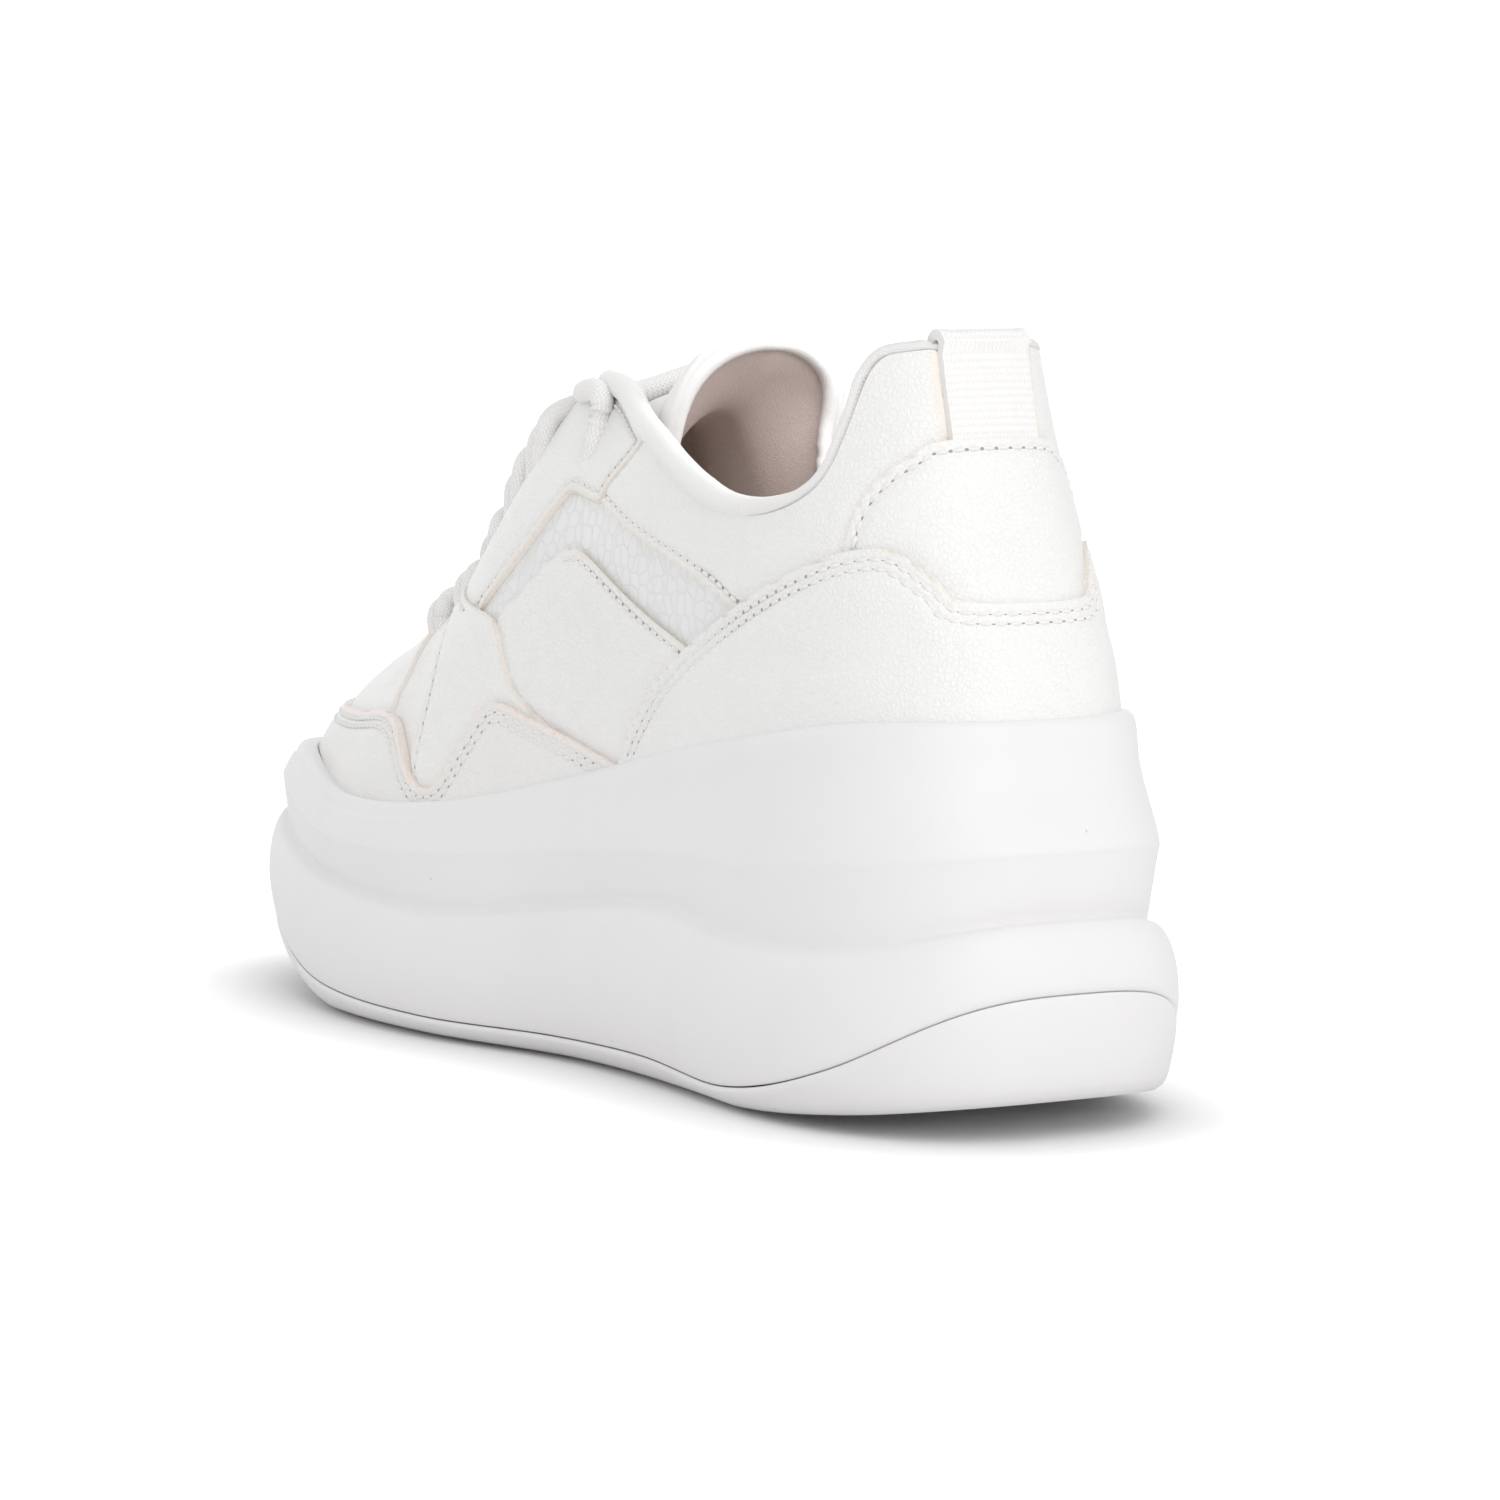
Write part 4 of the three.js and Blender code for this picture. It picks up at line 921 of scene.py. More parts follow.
# Points of a sheet joined where they meet, such as along the crest
def welded(rows, tris):
    points = skin(rows[:, 0], rows[:, 1], 0)
    _, first, index = np.unique(np.round(points, 3), axis=0, return_index=True, return_inverse=True)
    index = index.ravel()
    tris = index[tris]
    whole = (tris[:, 0] != tris[:, 1]) & (tris[:, 1] != tris[:, 2]) & (tris[:, 0] != tris[:, 2])
    return rows[first], tris[whole]


# Skin normals from small steps along turn and rise
def skinNormals(turn, rise):
    rise = np.clip(rise, 0.03, math.pi / 2 - 0.03)
    alongTurn = skin(turn + 1e-4, rise, 0) - skin(turn - 1e-4, rise, 0)
    alongRise = skin(turn, rise + 1e-3, 0) - skin(turn, rise - 1e-3, 0)
    normal = np.cross(alongRise, alongTurn)
    normal /= np.maximum(np.linalg.norm(normal, axis=1), 1e-12)[:, None]
    return normal


# Distance on the skin from a line drawn in side view, made true for the skin's slope
def onSkin(line, points, normals, plane, closed=False):
    flat = points[:, plane]
    step = 0.05
    here = lineDistance(line, flat[:, 0], flat[:, 1], closed)
    gx = lineDistance(line, flat[:, 0] + step, flat[:, 1], closed) - here
    gy = lineDistance(line, flat[:, 0], flat[:, 1] + step, closed) - here
    size = np.maximum(np.hypot(gx, gy), 1e-9)
    along = (normals[:, plane[0]] * gx + normals[:, plane[1]] * gy) / size
    return here / np.sqrt(np.clip(1 - along ** 2, 0.06, 1))


side, above = [0, 2], [0, 1]
holeRadius = 2.1
heelZone = 60.0
farOff = 99.0
eyeletPoints = np.array([skinAcross(at, sign * out * ballWidth, 0) for at,
        out in eyelets for sign in (1, -1)])


def holeRoom(points):
    return np.min(np.linalg.norm(points[:, None] - eyeletPoints[None], axis=2), axis=1) - holeRadius


# Free edges of a sheet as pairs in face order
def openEdges(tris):
    edges = np.concatenate([tris[:, [0, 1]], tris[:, [1, 2]], tris[:, [2, 0]]])
    keys = np.sort(edges, 1)
    _, index, count = np.unique(keys, axis=0, return_inverse=True, return_counts=True)
    return edges[count[index.ravel()] == 1]


# Closed shell from a sheet: outer height and inner depth per point, with -1 as the seam value underneath
def addShell(pile, rows, tris, outer, inner, seam, slot=0):
    used = np.unique(tris)
    index = np.full(len(rows), -1)
    index[used] = np.arange(len(used))
    tris = index[tris]
    rows, seam = rows[used], seam[used]
    outer, inner = np.broadcast_to(outer, len(index))[used], np.broadcast_to(inner, len(index))[used]
    top = skin(rows[:, 0], rows[:, 1], outer)
    under = skin(rows[:, 0], rows[:, 1], inner)
    edges = openEdges(tris)
    n = len(rows)
    scale = np.stack([top[:, 0], top[:, 2]], -1)
    addTo(pile, np.vstack([top, under]), tris, slot, np.concatenate([seam, np.full(n, -1.0)]), scale[tris])
    start = pile["count"] - 2 * n
    addFaces(pile, tris[:, ::-1] + n, 0, start)
    addFaces(pile, np.stack([edges[:, 1], edges[:, 0], edges[:, 0] + n, edges[:, 1] + n], -1), 0, start)


print("making the upper")
upperLook = {"turns": 460, "rises": 84, "skinDeep": 0.9, "creaseShare": 0.8, "liningTop": 1.0,
             "padding": 1.6,
             "stripeEnd": 0.62}
turnsRound = np.append(evenTurns(upperLook["turns"]), 1.0)
risesUp = np.linspace(0.0, math.pi / 2, upperLook["rises"])
rows, tris = skinSheet(turnsRound, risesUp)
points = skin(rows[:, 0], rows[:, 1], 0)
room = np.minimum(collarRoom(points), throatRoom(points))
rows = np.column_stack([rows, room, holeRoom(points)])
for column in (2, 3):
    rows, tris, _ = splitAt(rows, tris, column, 0.0)
    tris = tris[rows[tris][:, :, column].mean(1) > 0]
rows, tris = welded(rows, tris)
points = skin(rows[:, 0], rows[:, 1], 0)
sign = np.where(points[:, 1] >= 0, 1, -1)
upper = newPile()
stripe = points[tris].mean(1)[:, 0] < upperLook["stripeEnd"] * soleLength
addShell(upper, rows, tris, creaseHeight(points, sign) * upperLook["creaseShare"], -upperLook["skinDeep"],
         rows[:, 2], stripe.astype(int))
makePiece("upper", upper, [leather, scaleLeather], ["upper"])

lining = newPile()
collarAway = collarRoom(points)
padding = upperLook["padding"] * smoothStep(0, 4, collarAway) * (1 - smoothStep(16, 28, collarAway))
addShell(lining, rows, tris, -upperLook["liningTop"], -upperWall - padding, rows[:, 2])
makePiece("lining", lining, [liningCloth], ["upper"])


# Polylines from loose segments that share their ends
def chains(pairs):
    near = {}
    for a, b in pairs.tolist():
        near.setdefault(a, []).append(b)
        near.setdefault(b, []).append(a)
    done, lines = set(), []
    for start in [n for n in near if len(near[n]) == 1] + list(near):
        if start in done:
            continue
        line = [start]
        done.add(start)
        while True:
            onward = [n for n in near[line[-1]] if n not in done]
            if not onward:
                break
            line.append(onward[0])
            done.add(onward[0])
        lines.append(line)
    return lines


stitchLook = {"pitch": 2.9, "long": 2.2, "radius": 0.4, "hole": 0.42, "sink": 0.4}


# Thread stitches and needle holes along a line of turns and rises, on the skin at a height; the needle holes
# are small dark cones, their colour painted shade of the holes
def addStitches(pile, line, height, hidden, threadSlot, holeShadeSlot):
    line = np.asarray(line)
    path = skin(line[:, 0], line[:, 1], height)
    walked = np.concatenate([[0], np.cumsum(np.linalg.norm(np.diff(path, axis=0), axis=1))])
    count = int(walked[-1] / stitchLook["pitch"])
    if count < 2:
        return
    pitch = walked[-1] / count
    middle = (np.arange(count) + 0.5) * pitch
    shift = np.linspace(-0.5, 0.5, 5)
    at = middle[:, None] + shift * stitchLook["long"]
    turn, rise = np.interp(at, walked, line[:, 0]), np.interp(at, walked, line[:, 1])
    lift = height + stitchLook["radius"] * (0.55 - 3.4 * shift ** 2)
    centres = skin(turn, rise, np.broadcast_to(lift, turn.shape))
    shown = ~hidden(centres[:, 2])
    centres, turn, rise = centres[shown], turn[shown], rise[shown]
    if len(centres) == 0:
        return
    ahead = np.gradient(centres, axis=1)
    ahead /= np.linalg.norm(ahead, axis=2)[..., None]
    out = np.stack([skinNormals(t, r) for t, r in zip(turn.T, rise.T)], 1)
    across = np.cross(ahead, out)
    across /= np.linalg.norm(across, axis=2)[..., None]
    up = np.cross(across, ahead)
    angle = np.arange(6) / 6 * 2 * np.pi
    radius = stitchLook["radius"] * np.array([0.45, 0.95, 1.0, 0.95, 0.45])
    ring = radius[None, :, None, None] * (np.cos(angle)[:, None] * across[:, :, None]
            + np.sin(angle)[:, None] * up[:, :, None])
    points = (centres[:, :, None] + ring).reshape(len(centres), 30, 3)
    faces, _ = ringFaces(5, 6)
    ends = np.array([[0, 1, 2, 3], [0, 3, 4, 5], [24, 27, 26, 25], [24, 29, 28, 27]])
    faces = np.vstack([faces, ends])
    every = (faces[None] + 30 * np.arange(len(points))[:, None, None]).reshape(-1, 4)
    addTo(pile, points, every, threadSlot)
    at = (np.arange(count + 1)) * pitch
    # Needle holes: small dark cones on the skin, painted shade in place of real holes
    turn, rise = np.interp(at, walked, line[:, 0]), np.interp(at, walked, line[:, 1])
    centre = skin(turn, rise, height + 0.06)
    kept = ~hidden(centre)
    centre, out = centre[kept], skinNormals(turn[kept], rise[kept])
    across = np.cross(out, [0.3, 0.2, 1.0])
    across /= np.linalg.norm(across, axis=1)[:, None]
    up = np.cross(out, across)
    ring = stitchLook["hole"] * (np.cos(angle)[None, :, None] * across[:, None]
            + np.sin(angle)[None, :, None] * up[:, None])
    points = np.concatenate([centre[:, None] + ring, (centre + 0.05 * out)[:, None],
            (centre - 0.4 * out)[:, None]], 1)
    k = np.arange(6)
    faces = np.vstack([np.stack([k, (k + 1) % 6, np.full(6, 6)], 1),
            np.stack([(k + 1) % 6, k, np.full(6, 7)], 1)])
    every = (faces[None] + 8 * np.arange(len(points))[:, None, None]).reshape(-1, 3)
    addTo(pile, points, every, holeShadeSlot)


# Overlays: region in side view, the lines of the visible edges, the overlays they run under, height
# over the skin, distances of the stitch rows from the edge, and where the sewing and the piece end
plainPanel = {"over": [], "stitches": [1.9], "throat": False, "tabGap": False, "sewn": (-0.1, 1.1),
              "front": 1.1}
panelLooks = {
    "collar_panel": {"region": "collarPanel", "edges": ["collarPanel"],
            "over": ["foxing", "patch", "eyestay"],
                     "height": 1.3, "tabGap": True},
    "heel_patch": {"region": "patch", "edges": ["patch"], "over": ["foxing"], "height": 1.75},
    "heel_foxing": {"region": "foxing", "edges": ["foxing"], "height": 2.1, "stitches": [1.9, 3.6]},
    "toe_mudguard": {"region": "mudguard", "edges": ["mudguard"], "height": 2.0, "stitches": [1.9, 3.6]},
    "quarter": {"region": "quarter", "edges": ["quarter"], "over": ["foxing", "wing", "mudguard"],
                "height": 1.2, "sewn": (-0.1, 0.505), "front": 0.65},
    "wing": {"region": "wing", "edges": ["wing", "vamp"], "over": ["mudguard"], "height": 1.6,
             "sewn": (0.632, 1.1)},
    "eyestay": {"region": "eyestay", "edges": ["eyestay"], "over": ["wing"], "height": 1.3, "throat": True,
                "front": 0.66},
    "toe_patch": {"region": "toePatch", "edges": ["toePatch"], "over": ["mudguard"], "height": 0.9,
                  "stitches": []},
}
edgeLook = {"round": 0.9, "low": 0.45, "steps": (0.25, 0.55, 1.1), "dip": 0.45, "dipWide": 1.3,
            "holeDip": 0.5,
            "holeWide": 1.4, "least": 0.25, "under": 0.15, "tuck": 3.0, "intoSole": 1.2, "tabShow": 0.3,
            "tabSoft": 0.45, "stitchWide": 0.6}


def makePanel(name, nodes, look, turns):
    look = {**plainPanel, **look}
    over, height = look["over"], look["height"]
    rows, tris = skinSheet(turns, risesUp)
    points = skin(rows[:, 0], rows[:, 1], 0)
    x, z = points[:, 0], points[:, 2]
    own = insideDistance(regions[look["region"]], x, z)
    close = (own > -6) & (collarRoom(points) > -6) & (throatRoom(points) > -6)
    tris = tris[close[tris].any(1)]
    used, tris = np.unique(tris, return_inverse=True)
    rows, points, own, tris = rows[used], points[used], own[used], tris.reshape(-1, 3)
    x, z = points[:, 0], points[:, 2]
    normals = skinNormals(rows[:, 0], rows[:, 1])
    seam = np.min([onSkin(seams[edge], points, normals, side) for edge in look["edges"]], axis=0)
    keep = np.minimum(own, np.minimum(collarRoom(points), throatRoom(points)))
    if look["throat"]:
        seam = np.minimum(seam, onSkin(throatOutline, points, normals, above, True))
        seam = np.minimum(seam, onSkin(collarCut, points, normals, side))
    keep = np.minimum(keep, z - lineHeights(x / soleLength)["rim"] + edgeLook["intoSole"])
    keep = np.minimum(keep, look["front"] * soleLength - x)
    for other in over:
        keep = np.minimum(keep, edgeLook["tuck"] - insideDistance(regions[other], x, z))
    edge = seam
    if look["tabGap"]:
        beside = np.where(x < heelZone, np.abs(points[:, 1]) - tabWidth / 2 + edgeLook["tabShow"], farOff)
        keep = np.minimum(keep, beside)
        edge = np.minimum(seam, beside * edgeLook["tabSoft"])
    rows = np.column_stack([rows, keep, holeRoom(points), seam, edge])
    for column in (2, 3):
        rows, tris, _ = splitAt(rows, tris, column, 0.0)
        tris = tris[rows[tris][:, :, column].mean(1) > 0]
    lines = []
    for level in edgeLook["steps"]:
        rows, tris, _ = splitAt(rows, tris, 5, level)
    for row in look["stitches"]:
        rows, tris, _ = splitAt(rows, tris, 4, row - edgeLook["stitchWide"])
        rows, tris, pairs = splitAt(rows, tris, 4, row)
        lines += [rows[chain][:, :2] for chain in chains(pairs)]
        rows, tris, _ = splitAt(rows, tris, 4, row + edgeLook["stitchWide"])
    rows, tris = welded(rows, tris)
    seam, edge = rows[:, 4], rows[:, 5]
    rounded = np.sqrt(1 - (1 - np.clip(edge / edgeLook["round"], 0, 1)) ** 2)
    top = height * mix(edgeLook["low"], 1, rounded)
    points = skin(rows[:, 0], rows[:, 1], 0)
    at = points[:, 0] / soleLength
    first, last = look["sewn"]
    sewn = smoothStep(-0.01, 0.0, at - first) * smoothStep(-0.01, 0.0, last - at)
    for row in look["stitches"]:
        top = top - sewn * stitchLook["sink"] * np.exp(-((seam - row) / edgeLook["stitchWide"]) ** 2)
    for other in over:
        outside = -insideDistance(regions[other], points[:, 0], points[:, 2])
        top = top - edgeLook["dip"] * height * np.exp(-(np.maximum(outside, 0) / edgeLook["dipWide"]) ** 2)
    hole = np.maximum(rows[:, 3], 0)
    top = top - edgeLook["holeDip"] * np.exp(-(hole / edgeLook["holeWide"]) ** 2)
    bend = creaseHeight(points, np.where(points[:, 1] >= 0, 1, -1))
    pile = newPile()
    addShell(pile, rows, tris, np.maximum(top + bend, edgeLook["least"]),
            np.minimum(bend, 0) - edgeLook["under"],
             edge)

    def hidden(p):
        away = [insideDistance(regions[other], p[:, 0], p[:, 2]) > -1.2 for other in over]
        away.append(p[:, 2] < lineHeights(p[:, 0] / soleLength)["rim"] + 0.4)
        away.append((p[:, 0] < first * soleLength) | (p[:, 0] > last * soleLength))
        away.append(look["tabGap"] & (p[:, 0] < heelZone) & (np.abs(p[:, 1]) < tabWidth / 2 + 1))
        return np.any(away, axis=0)

    for line in lines:
        if len(line) > 4:
            addStitches(pile, line, height - stitchLook["sink"], hidden, 1, 2)
    skinMaterial = toeLeather if look["region"] == "mudguard" else leather
    makePiece(name, pile, [skinMaterial, thread, needleHoleShade], nodes)


print("making the overlays")
heelTurns = np.concatenate([turnsRound[turnsRound > 0.68] - 1, turnsRound[1:][turnsRound[1:] < 0.32]])
toeTurns = turnsRound[(turnsRound > 0.18) & (turnsRound < 0.82)]
sideTurns = {"outer": turnsRound[(turnsRound > 0.02) & (turnsRound <= 0.5)],
             "inner": turnsRound[(turnsRound >= 0.5) & (turnsRound < 0.98)]}
for name in ("collar_panel", "heel_patch", "heel_foxing"):
    makePanel(name, [name], panelLooks[name], heelTurns)
makePanel("toe_mudguard", ["toe_mudguard"], panelLooks["toe_mudguard"], toeTurns)
for word, turns in sideTurns.items():
    for name in ("quarter", "wing", "eyestay"):
        makePanel(name + "_" + word, [name + "_" + word], panelLooks[name], turns)
makePanel("toe_patch", ["upper"], panelLooks["toe_patch"], toeTurns)

print("making the tongue")
tongueLook = {"stations": 90, "around": 64, "rollRadius": 1.7, "rollBack": 0.8, "rollSides": 14,
              "noseLong": 0.008,
              "thinner": 0.35, "crownFrom": 0.43, "crownFull": 0.36}
stations = np.linspace(tongueRows["at"][-1], tongueRows["at"][0], tongueLook["stations"])
ringCount = tongueLook["around"]
angle = np.arange(ringCount) / ringCount * 2 * np.pi
q = np.cos(angle)
crown = {"raise": 2.4, "shoulder": 2.6, "drop": 4.6, "tilt": 0.8, "back": 2.0, "widen": 5.0, "inward": 2.6}
rings = []
for station in stations:
    spread = float(along(tongueRows, "spread", station))
    nose = max(0.0, (tongueRows["at"][0] - station) / tongueLook["noseLong"] + 1)
    nearTop = float(smoothStep(tongueLook["crownFrom"], tongueLook["crownFull"], station))
    thick = tongueThick * float(along(tongueRows, "thick", station)) * math.sqrt(max(1 - nose ** 2, 0.05))
    thick *= 1 - tongueLook["thinner"] * nearTop
    sink = tongueThick * float(along(tongueRows, "sink", station))
    full = tongueThick * float(along(tongueRows, "thick", station))
    rise = mix(math.pi / 2, (1 - spread) * math.pi / 2, np.abs(q) ** 1.2)
    n = squarenessAt(rise)
    reach = (1 - abs(1 - 2 * station) ** n) ** (1 / n)
    depth = -upperWall - tongueGap - sink - full / 2 + thick / 2 * np.sin(angle)
    ring = skinPoint(np.full(ringCount, station), reach, np.where(q >= 0, 1.0, -1.0), rise, depth)
    middle, half = (ring[:, 1].max() + ring[:, 1].min()) / 2, np.ptp(ring[:, 1]) / 2
    s = (ring[:, 1] - middle) / half
    shoulder = 4 * s ** 2 * (1 - s ** 2) * crown["shoulder"]
    highest = (ring[:, 2] - ring[:, 2].min()) / np.ptp(ring[:, 2])
    free = nearTop * smoothStep(0.45, 0.8, highest)
    ring[:, 2] += nearTop * (crown["raise"] + shoulder - crown["drop"] * s ** 6 + crown["tilt"] * s)
    ring[:, 0] -= nearTop * crown["back"] * (1 - s ** 2)
    ring[:, 1] += free * (crown["widen"] * s - crown["inward"])
    rings.append(ring)
rings = np.array(rings)
tongue = newPile()
faces, uv = ringFaces(len(rings), ringCount, 90, 120)
behind = np.tile(np.sin(angle + np.pi / ringCount) < 0, len(rings) - 1)
behind &= np.arange(len(behind)) < (len(rings) - 2) * ringCount
addTo(tongue, rings, faces, behind.astype(int), uv=uv)
for first in (0, (len(rings) - 1) * ringCount):
    addFaces(tongue, capFaces(first, ringCount), 0)
frontSide = rings[-2][: ringCount // 2 + 1]
backSide = rings[-2][(-np.arange(ringCount // 2 + 1)) % ringCount]
edgeRoll = curveThrough(mix(frontSide, backSide, tongueLook["rollBack"]), 2)
addTube(tongue, edgeRoll, tongueLook["rollRadius"], 0, tongueLook["rollSides"])
tonguePiece = makePiece("tongue", tongue, [softLeather, liningCloth], ["tongue"], 60)

print("making the collar binding and the heel tab")


def collarPoint(turn, grow):
    def passed(p):
        return p[:, 2] >= sideHeight(p[:, 0] / soleLength, along(collarLine, "up", p[:, 0] / soleLength))
    return skin(turn, riseWhere(turn, passed, grow), grow)


bindingLook = {"stations": 260, "around": 18, "clothHalf": 0.31, "thinHalf": 0.25, "thinBlend": 0.11,
               "underTab": 0.4}
shares = np.linspace(0, 1, bindingLook["stations"])
turns = mix(-collarReach, collarReach, shares)
edge = collarPoint(turns, gap / 2)
forward = np.clip((np.abs(shares - 0.5) - bindingLook["thinHalf"]) / bindingLook["thinBlend"], 0, 1)
underTab = smoothStep(tabWidth / 2 + 2, tabWidth / 2, np.abs(edge[:, 1])) * (edge[:, 0] < 40)
thickness = mix(bindingHeelRadius, bindingRadius, forward) * (1 - bindingLook["underTab"] * underTab)
ahead = np.gradient(edge, axis=0)
upward = np.cross(collarPoint(turns, 1.0) - edge, ahead)
upward /= np.linalg.norm(upward, axis=1)[:, None]
upward *= (np.sign(upward[:, 2]) * (thickness + gap))[:, None]
binding = newPile()
bindingSlots = np.repeat(np.abs(shares[:-1] - 0.5) < bindingLook["clothHalf"],
                         bindingLook["around"]).astype(int)
addTube(binding, edge + upward, thickness, bindingSlots, bindingLook["around"])
collarRoll = makePiece("collar_binding", binding, [softLeather, bindingCloth], ["collar_binding"],
                       60)


# Points of the heel's skin at distances across and heights
def heelPoint(y, z, grow):
    low, high = np.full(y.shape, 0.1), np.full(y.shape, math.pi / 2)
    for _ in range(18):
        rise = (low + high) / 2
        near, far = np.zeros(y.shape), np.full(y.shape, 0.15)
        for _ in range(18):
            turn = (near + far) / 2
            point = skin(np.where(y >= 0, turn, -turn), rise, grow)
            inside = np.abs(point[..., 1]) < np.abs(y)
            near, far = np.where(inside, turn, near), np.where(inside, far, turn)
        lower = point[..., 2] < z
        low, high = np.where(lower, rise, low), np.where(lower, high, rise)
    return point


tabLook = {"ribPitch": 1.65, "ribHeight": 0.22, "selvedge": 0.3, "sections": 25}
inner = 0.6
insideGrow = -upperWall - gap - 0.3
bend = 0.7 * (bindingHeelRadius + gap)
across = np.linspace(tabWidth / 2, -tabWidth / 2, tabLook["sections"])
at = heelPoint(across, np.full(across.shape, heelHeight + upperHeight * 0.8), 0)[:, 0] / soleLength
top = sideHeight(at, along(collarLine, "up", at))
foot = sideHeight(at, 0.74) - 2.5
upward = mix(foot[None], top[None], np.linspace(0, 1, 60)[:, None])
wide = np.broadcast_to(across, upward.shape)
tuck = smoothStep(0, 0.22, np.linspace(0, 1, 60))[:, None]
near = list(heelPoint(wide, upward, 0.2 + (inner - 0.2) * tuck))
far = list(heelPoint(wide, upward, 0.6 + (inner + 0.5) * tuck))
edge = heelPoint(across, top, gap / 2)
out = heelPoint(across, top, 1 + gap / 2) - edge
out /= np.linalg.norm(out, axis=1)[:, None]
centre = edge + [0, 0, bend]
for angle in np.linspace(math.pi / 14, math.pi * 0.95, 16):
    spoke = out * math.cos(angle)
    spoke[:, 2] = math.sin(angle)
    near.append(centre + spoke * bend)
    far.append(centre + spoke * (bend + tabThick))
downward = top[None] - tabInside * np.linspace(0, 1, 30)[:, None]
wide = np.broadcast_to(across, downward.shape)
near += list(heelPoint(wide, downward, insideGrow))
far += list(heelPoint(wide, downward, insideGrow - tabThick))
near, far = np.array(near), np.array(far)
thickWay = far - near
thickWay /= np.linalg.norm(thickWay, axis=2)[..., None]
walked = np.concatenate([[0], np.cumsum(np.linalg.norm(np.diff(far[:, 12], axis=0), axis=1))])
ribs = np.abs(np.sin(np.pi * walked / tabLook["ribPitch"])) * tabLook["ribHeight"] - 0.1
rim = np.abs(across) > tabWidth / 2 - 1.6
lift = np.where(rim[None], tabLook["selvedge"], ribs[:, None])
far = far + thickWay * lift[..., None]
rings = np.concatenate([far, near[::-1]], 0).transpose(1, 0, 2)
tab = newPile()
faces, uv = ringFaces(len(rings), rings.shape[1], 2 * walked[-1], tabWidth)
addTo(tab, rings, faces, 0, uv=uv)
half = rings.shape[1] // 2
i = np.arange(half - 1)
for first in (0, (len(rings) - 1) * rings.shape[1]):
    caps = np.stack([i, i + 1, rings.shape[1] - 2 - i, rings.shape[1] - 1 - i], -1) + first
    addFaces(tab, caps, 0)
makePiece("heel_tab", tab, [webbing], ["heel_tab"], 50)

print("making the laces")
stay = [1, 1, 1, 0.5, 0, 0]
laceSag = 5.0
topReach = 0.075
apart = (laceRadius + 2 * gap) / (soleLength - heelConeLength - toeBoxLength)


def laceHold(index, shift, sign, share, lower=0.0):
    at, out = eyelets[index]
    lift = laceRadius + stay[index] * 1.2 - lower
    return skinAcross(at + shift, sign * out * ballWidth * share, lift)


for i in range(len(eyelets)):
    j = min(i + 1, len(eyelets) - 1)
    lace = newPile()
    end = apart if i == j else -apart
    for sign in ((1,) if i == j else (1, -1)):
        over = topReach if i == 0 else apart
        here = 0.0 if i == 0 else apart
        a, b = laceHold(i, here, sign, 0.94), laceHold(i, over, sign, 0.68, laceSag * 0.4)
        c, d = laceHold(j, end, -sign, 0.7, laceSag * 0.5), laceHold(j, end, -sign, 1.0)
        centre = (b + c) / 2 + [0, 0, laceRadius * 0.85 - laceSag * 0.5]
        start = laceHold(i, here * 0.5, sign, 1.04, laceRadius + (3.6 if i == 0 else 2.4))
        finish = laceHold(j, end * 0.5, -sign, 1.06, laceRadius + 2.4)
        addTube(lace, curveThrough([start, a, b, centre, c, d, finish], 10), laceRadius, 0, 16)
    makePiece("lace_" + str(i + 1), lace, [laceCloth], ["lace_" + str(i + 1)], 60)

print("making the floor, lights and camera")
stageLook = {"floorColour": (0.78, 0.775, 0.775, 1), "floorGlow": 0.5, "shadowReach": 0.03,
             "wallColour": (0.8, 0.8, 0.8, 1),
             "wallGlow": 0.75, "sky": 0.74}


# White surface of the room, glowing by a strength
def addStage(name, corners, colour, glow):
    material = bpy.data.materials.new(name + "_white")
    material.use_nodes = True
    tree = material.node_tree
    shader = tree.nodes["Principled BSDF"]
    shader.inputs["Base Color"].default_value = colour
    shader.inputs["Emission Color"].default_value = (1, 1, 1, 1)
    shader.inputs["Emission Strength"].default_value = glow
    mesh = bpy.data.meshes.new(name)
    mesh.from_pydata(corners, [], [(0, 1, 2, 3)])
    mesh.materials.append(material)
    surface = bpy.data.objects.new(name, mesh)
    bpy.context.collection.objects.link(surface)
    return tree, shader


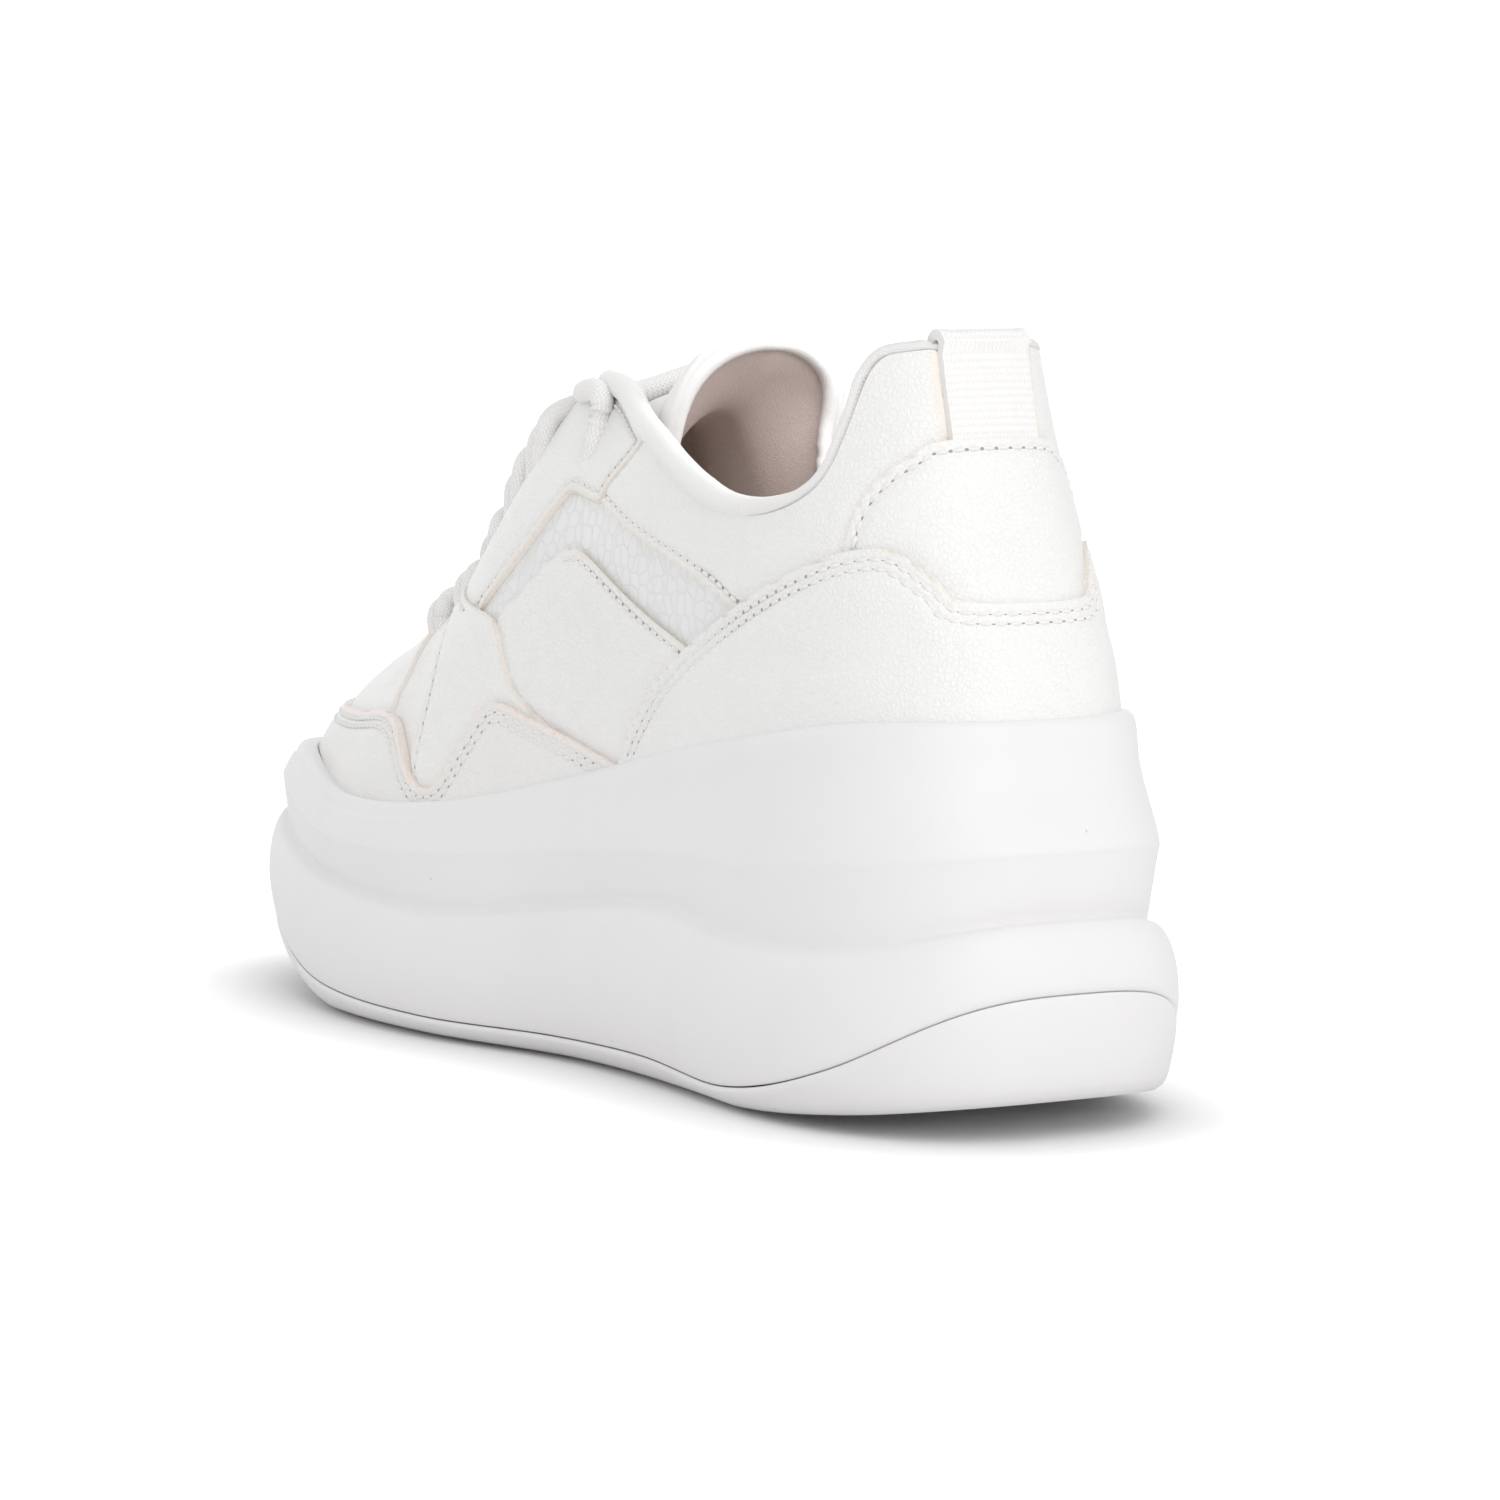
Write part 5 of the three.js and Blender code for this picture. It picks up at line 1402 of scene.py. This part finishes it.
wide = 6.0
floorTree, floorShader = addStage("floor", [(-wide, -wide, 0), (wide, -wide, 0), (wide, wide, 0),
        (-wide, wide, 0)],
                                  stageLook["floorColour"], stageLook["floorGlow"])
# The floor's glow fades by ambient occlusion near the shoe: a painted contact shadow under the sole; rays
# other than the camera's get half the glow
opennessForPaintedShadow = addNode(floorTree, "ShaderNodeAmbientOcclusion", {"Distance": stageLook["shadowReach"]},
                   samples=8)
glow = calc(floorTree, "MULTIPLY", calc(floorTree, "POWER", opennessForPaintedShadow.outputs["AO"], 3.0),
            stageLook["floorGlow"])
seen = addNode(floorTree, "ShaderNodeLightPath").outputs["Is Camera Ray"]
glow = calc(floorTree, "MULTIPLY", glow, calc(floorTree, "MULTIPLY_ADD", seen, 0.5, 0.5))
floorTree.links.new(glow, floorShader.inputs["Emission Strength"])
floorShader.inputs["Roughness"].default_value = 0.9
floorShader.inputs["Specular IOR Level"].default_value = 0.1
addStage("backdrop", [(4, -6, -0.5), (4, 3, -0.5), (4, 3, 4), (4, -6, 4)],
         stageLook["wallColour"], stageLook["wallGlow"])

world = bpy.data.worlds.new("white_room")
world.use_nodes = True
sky = world.node_tree.nodes["Background"]
sky.inputs["Color"].default_value = (1.0, 1.0, 1.0, 1)
sky.inputs["Strength"].default_value = stageLook["sky"]
bpy.context.scene.world = world


def addSoftbox(name, spot, aim, size, power):
    light = bpy.data.lights.new(name, "AREA")
    light.size = size
    light.energy = power
    box = bpy.data.objects.new(name, light)
    box.location = spot
    box.rotation_mode = "QUATERNION"
    box.rotation_quaternion = (Vector(aim) - Vector(spot)).to_track_quat("-Z", "Y")
    bpy.context.collection.objects.link(box)


addSoftbox("top_box", (-0.65, 0.15, 0.65), (-0.08, 0, 0.08), 0.6, 2.3)
addSoftbox("rear_box", (-1.3, -0.2, 0.25), (-0.1, 0, 0.06), 0.6, 1.2)
addSoftbox("inside_fill", (-0.06, -0.012, 0.15), (-0.02, 0.02, 0.09), 0.03, 0.013)
addSoftbox("toe_fill", (-0.035, -0.008, 0.115), (0.02, 0.012, 0.07), 0.02, 0.0016)

bpy.context.scene.view_settings.view_transform = "Standard"
camera = bpy.data.objects.new("camera", bpy.data.cameras.new("camera"))
bpy.context.collection.objects.link(camera)
camera.location = (-0.9848, 0.56915, 0.1738)
camera.rotation_mode = "QUATERNION"
camera.rotation_quaternion = Vector((0.86134709, -0.49729897, -0.10380237)).to_track_quat("-Z", "Y")
camera.data.sensor_width = 36
camera.data.lens = 140.46
camera.data.shift_x = 0.0456
camera.data.shift_y = 0.0072
bpy.context.scene.camera = camera
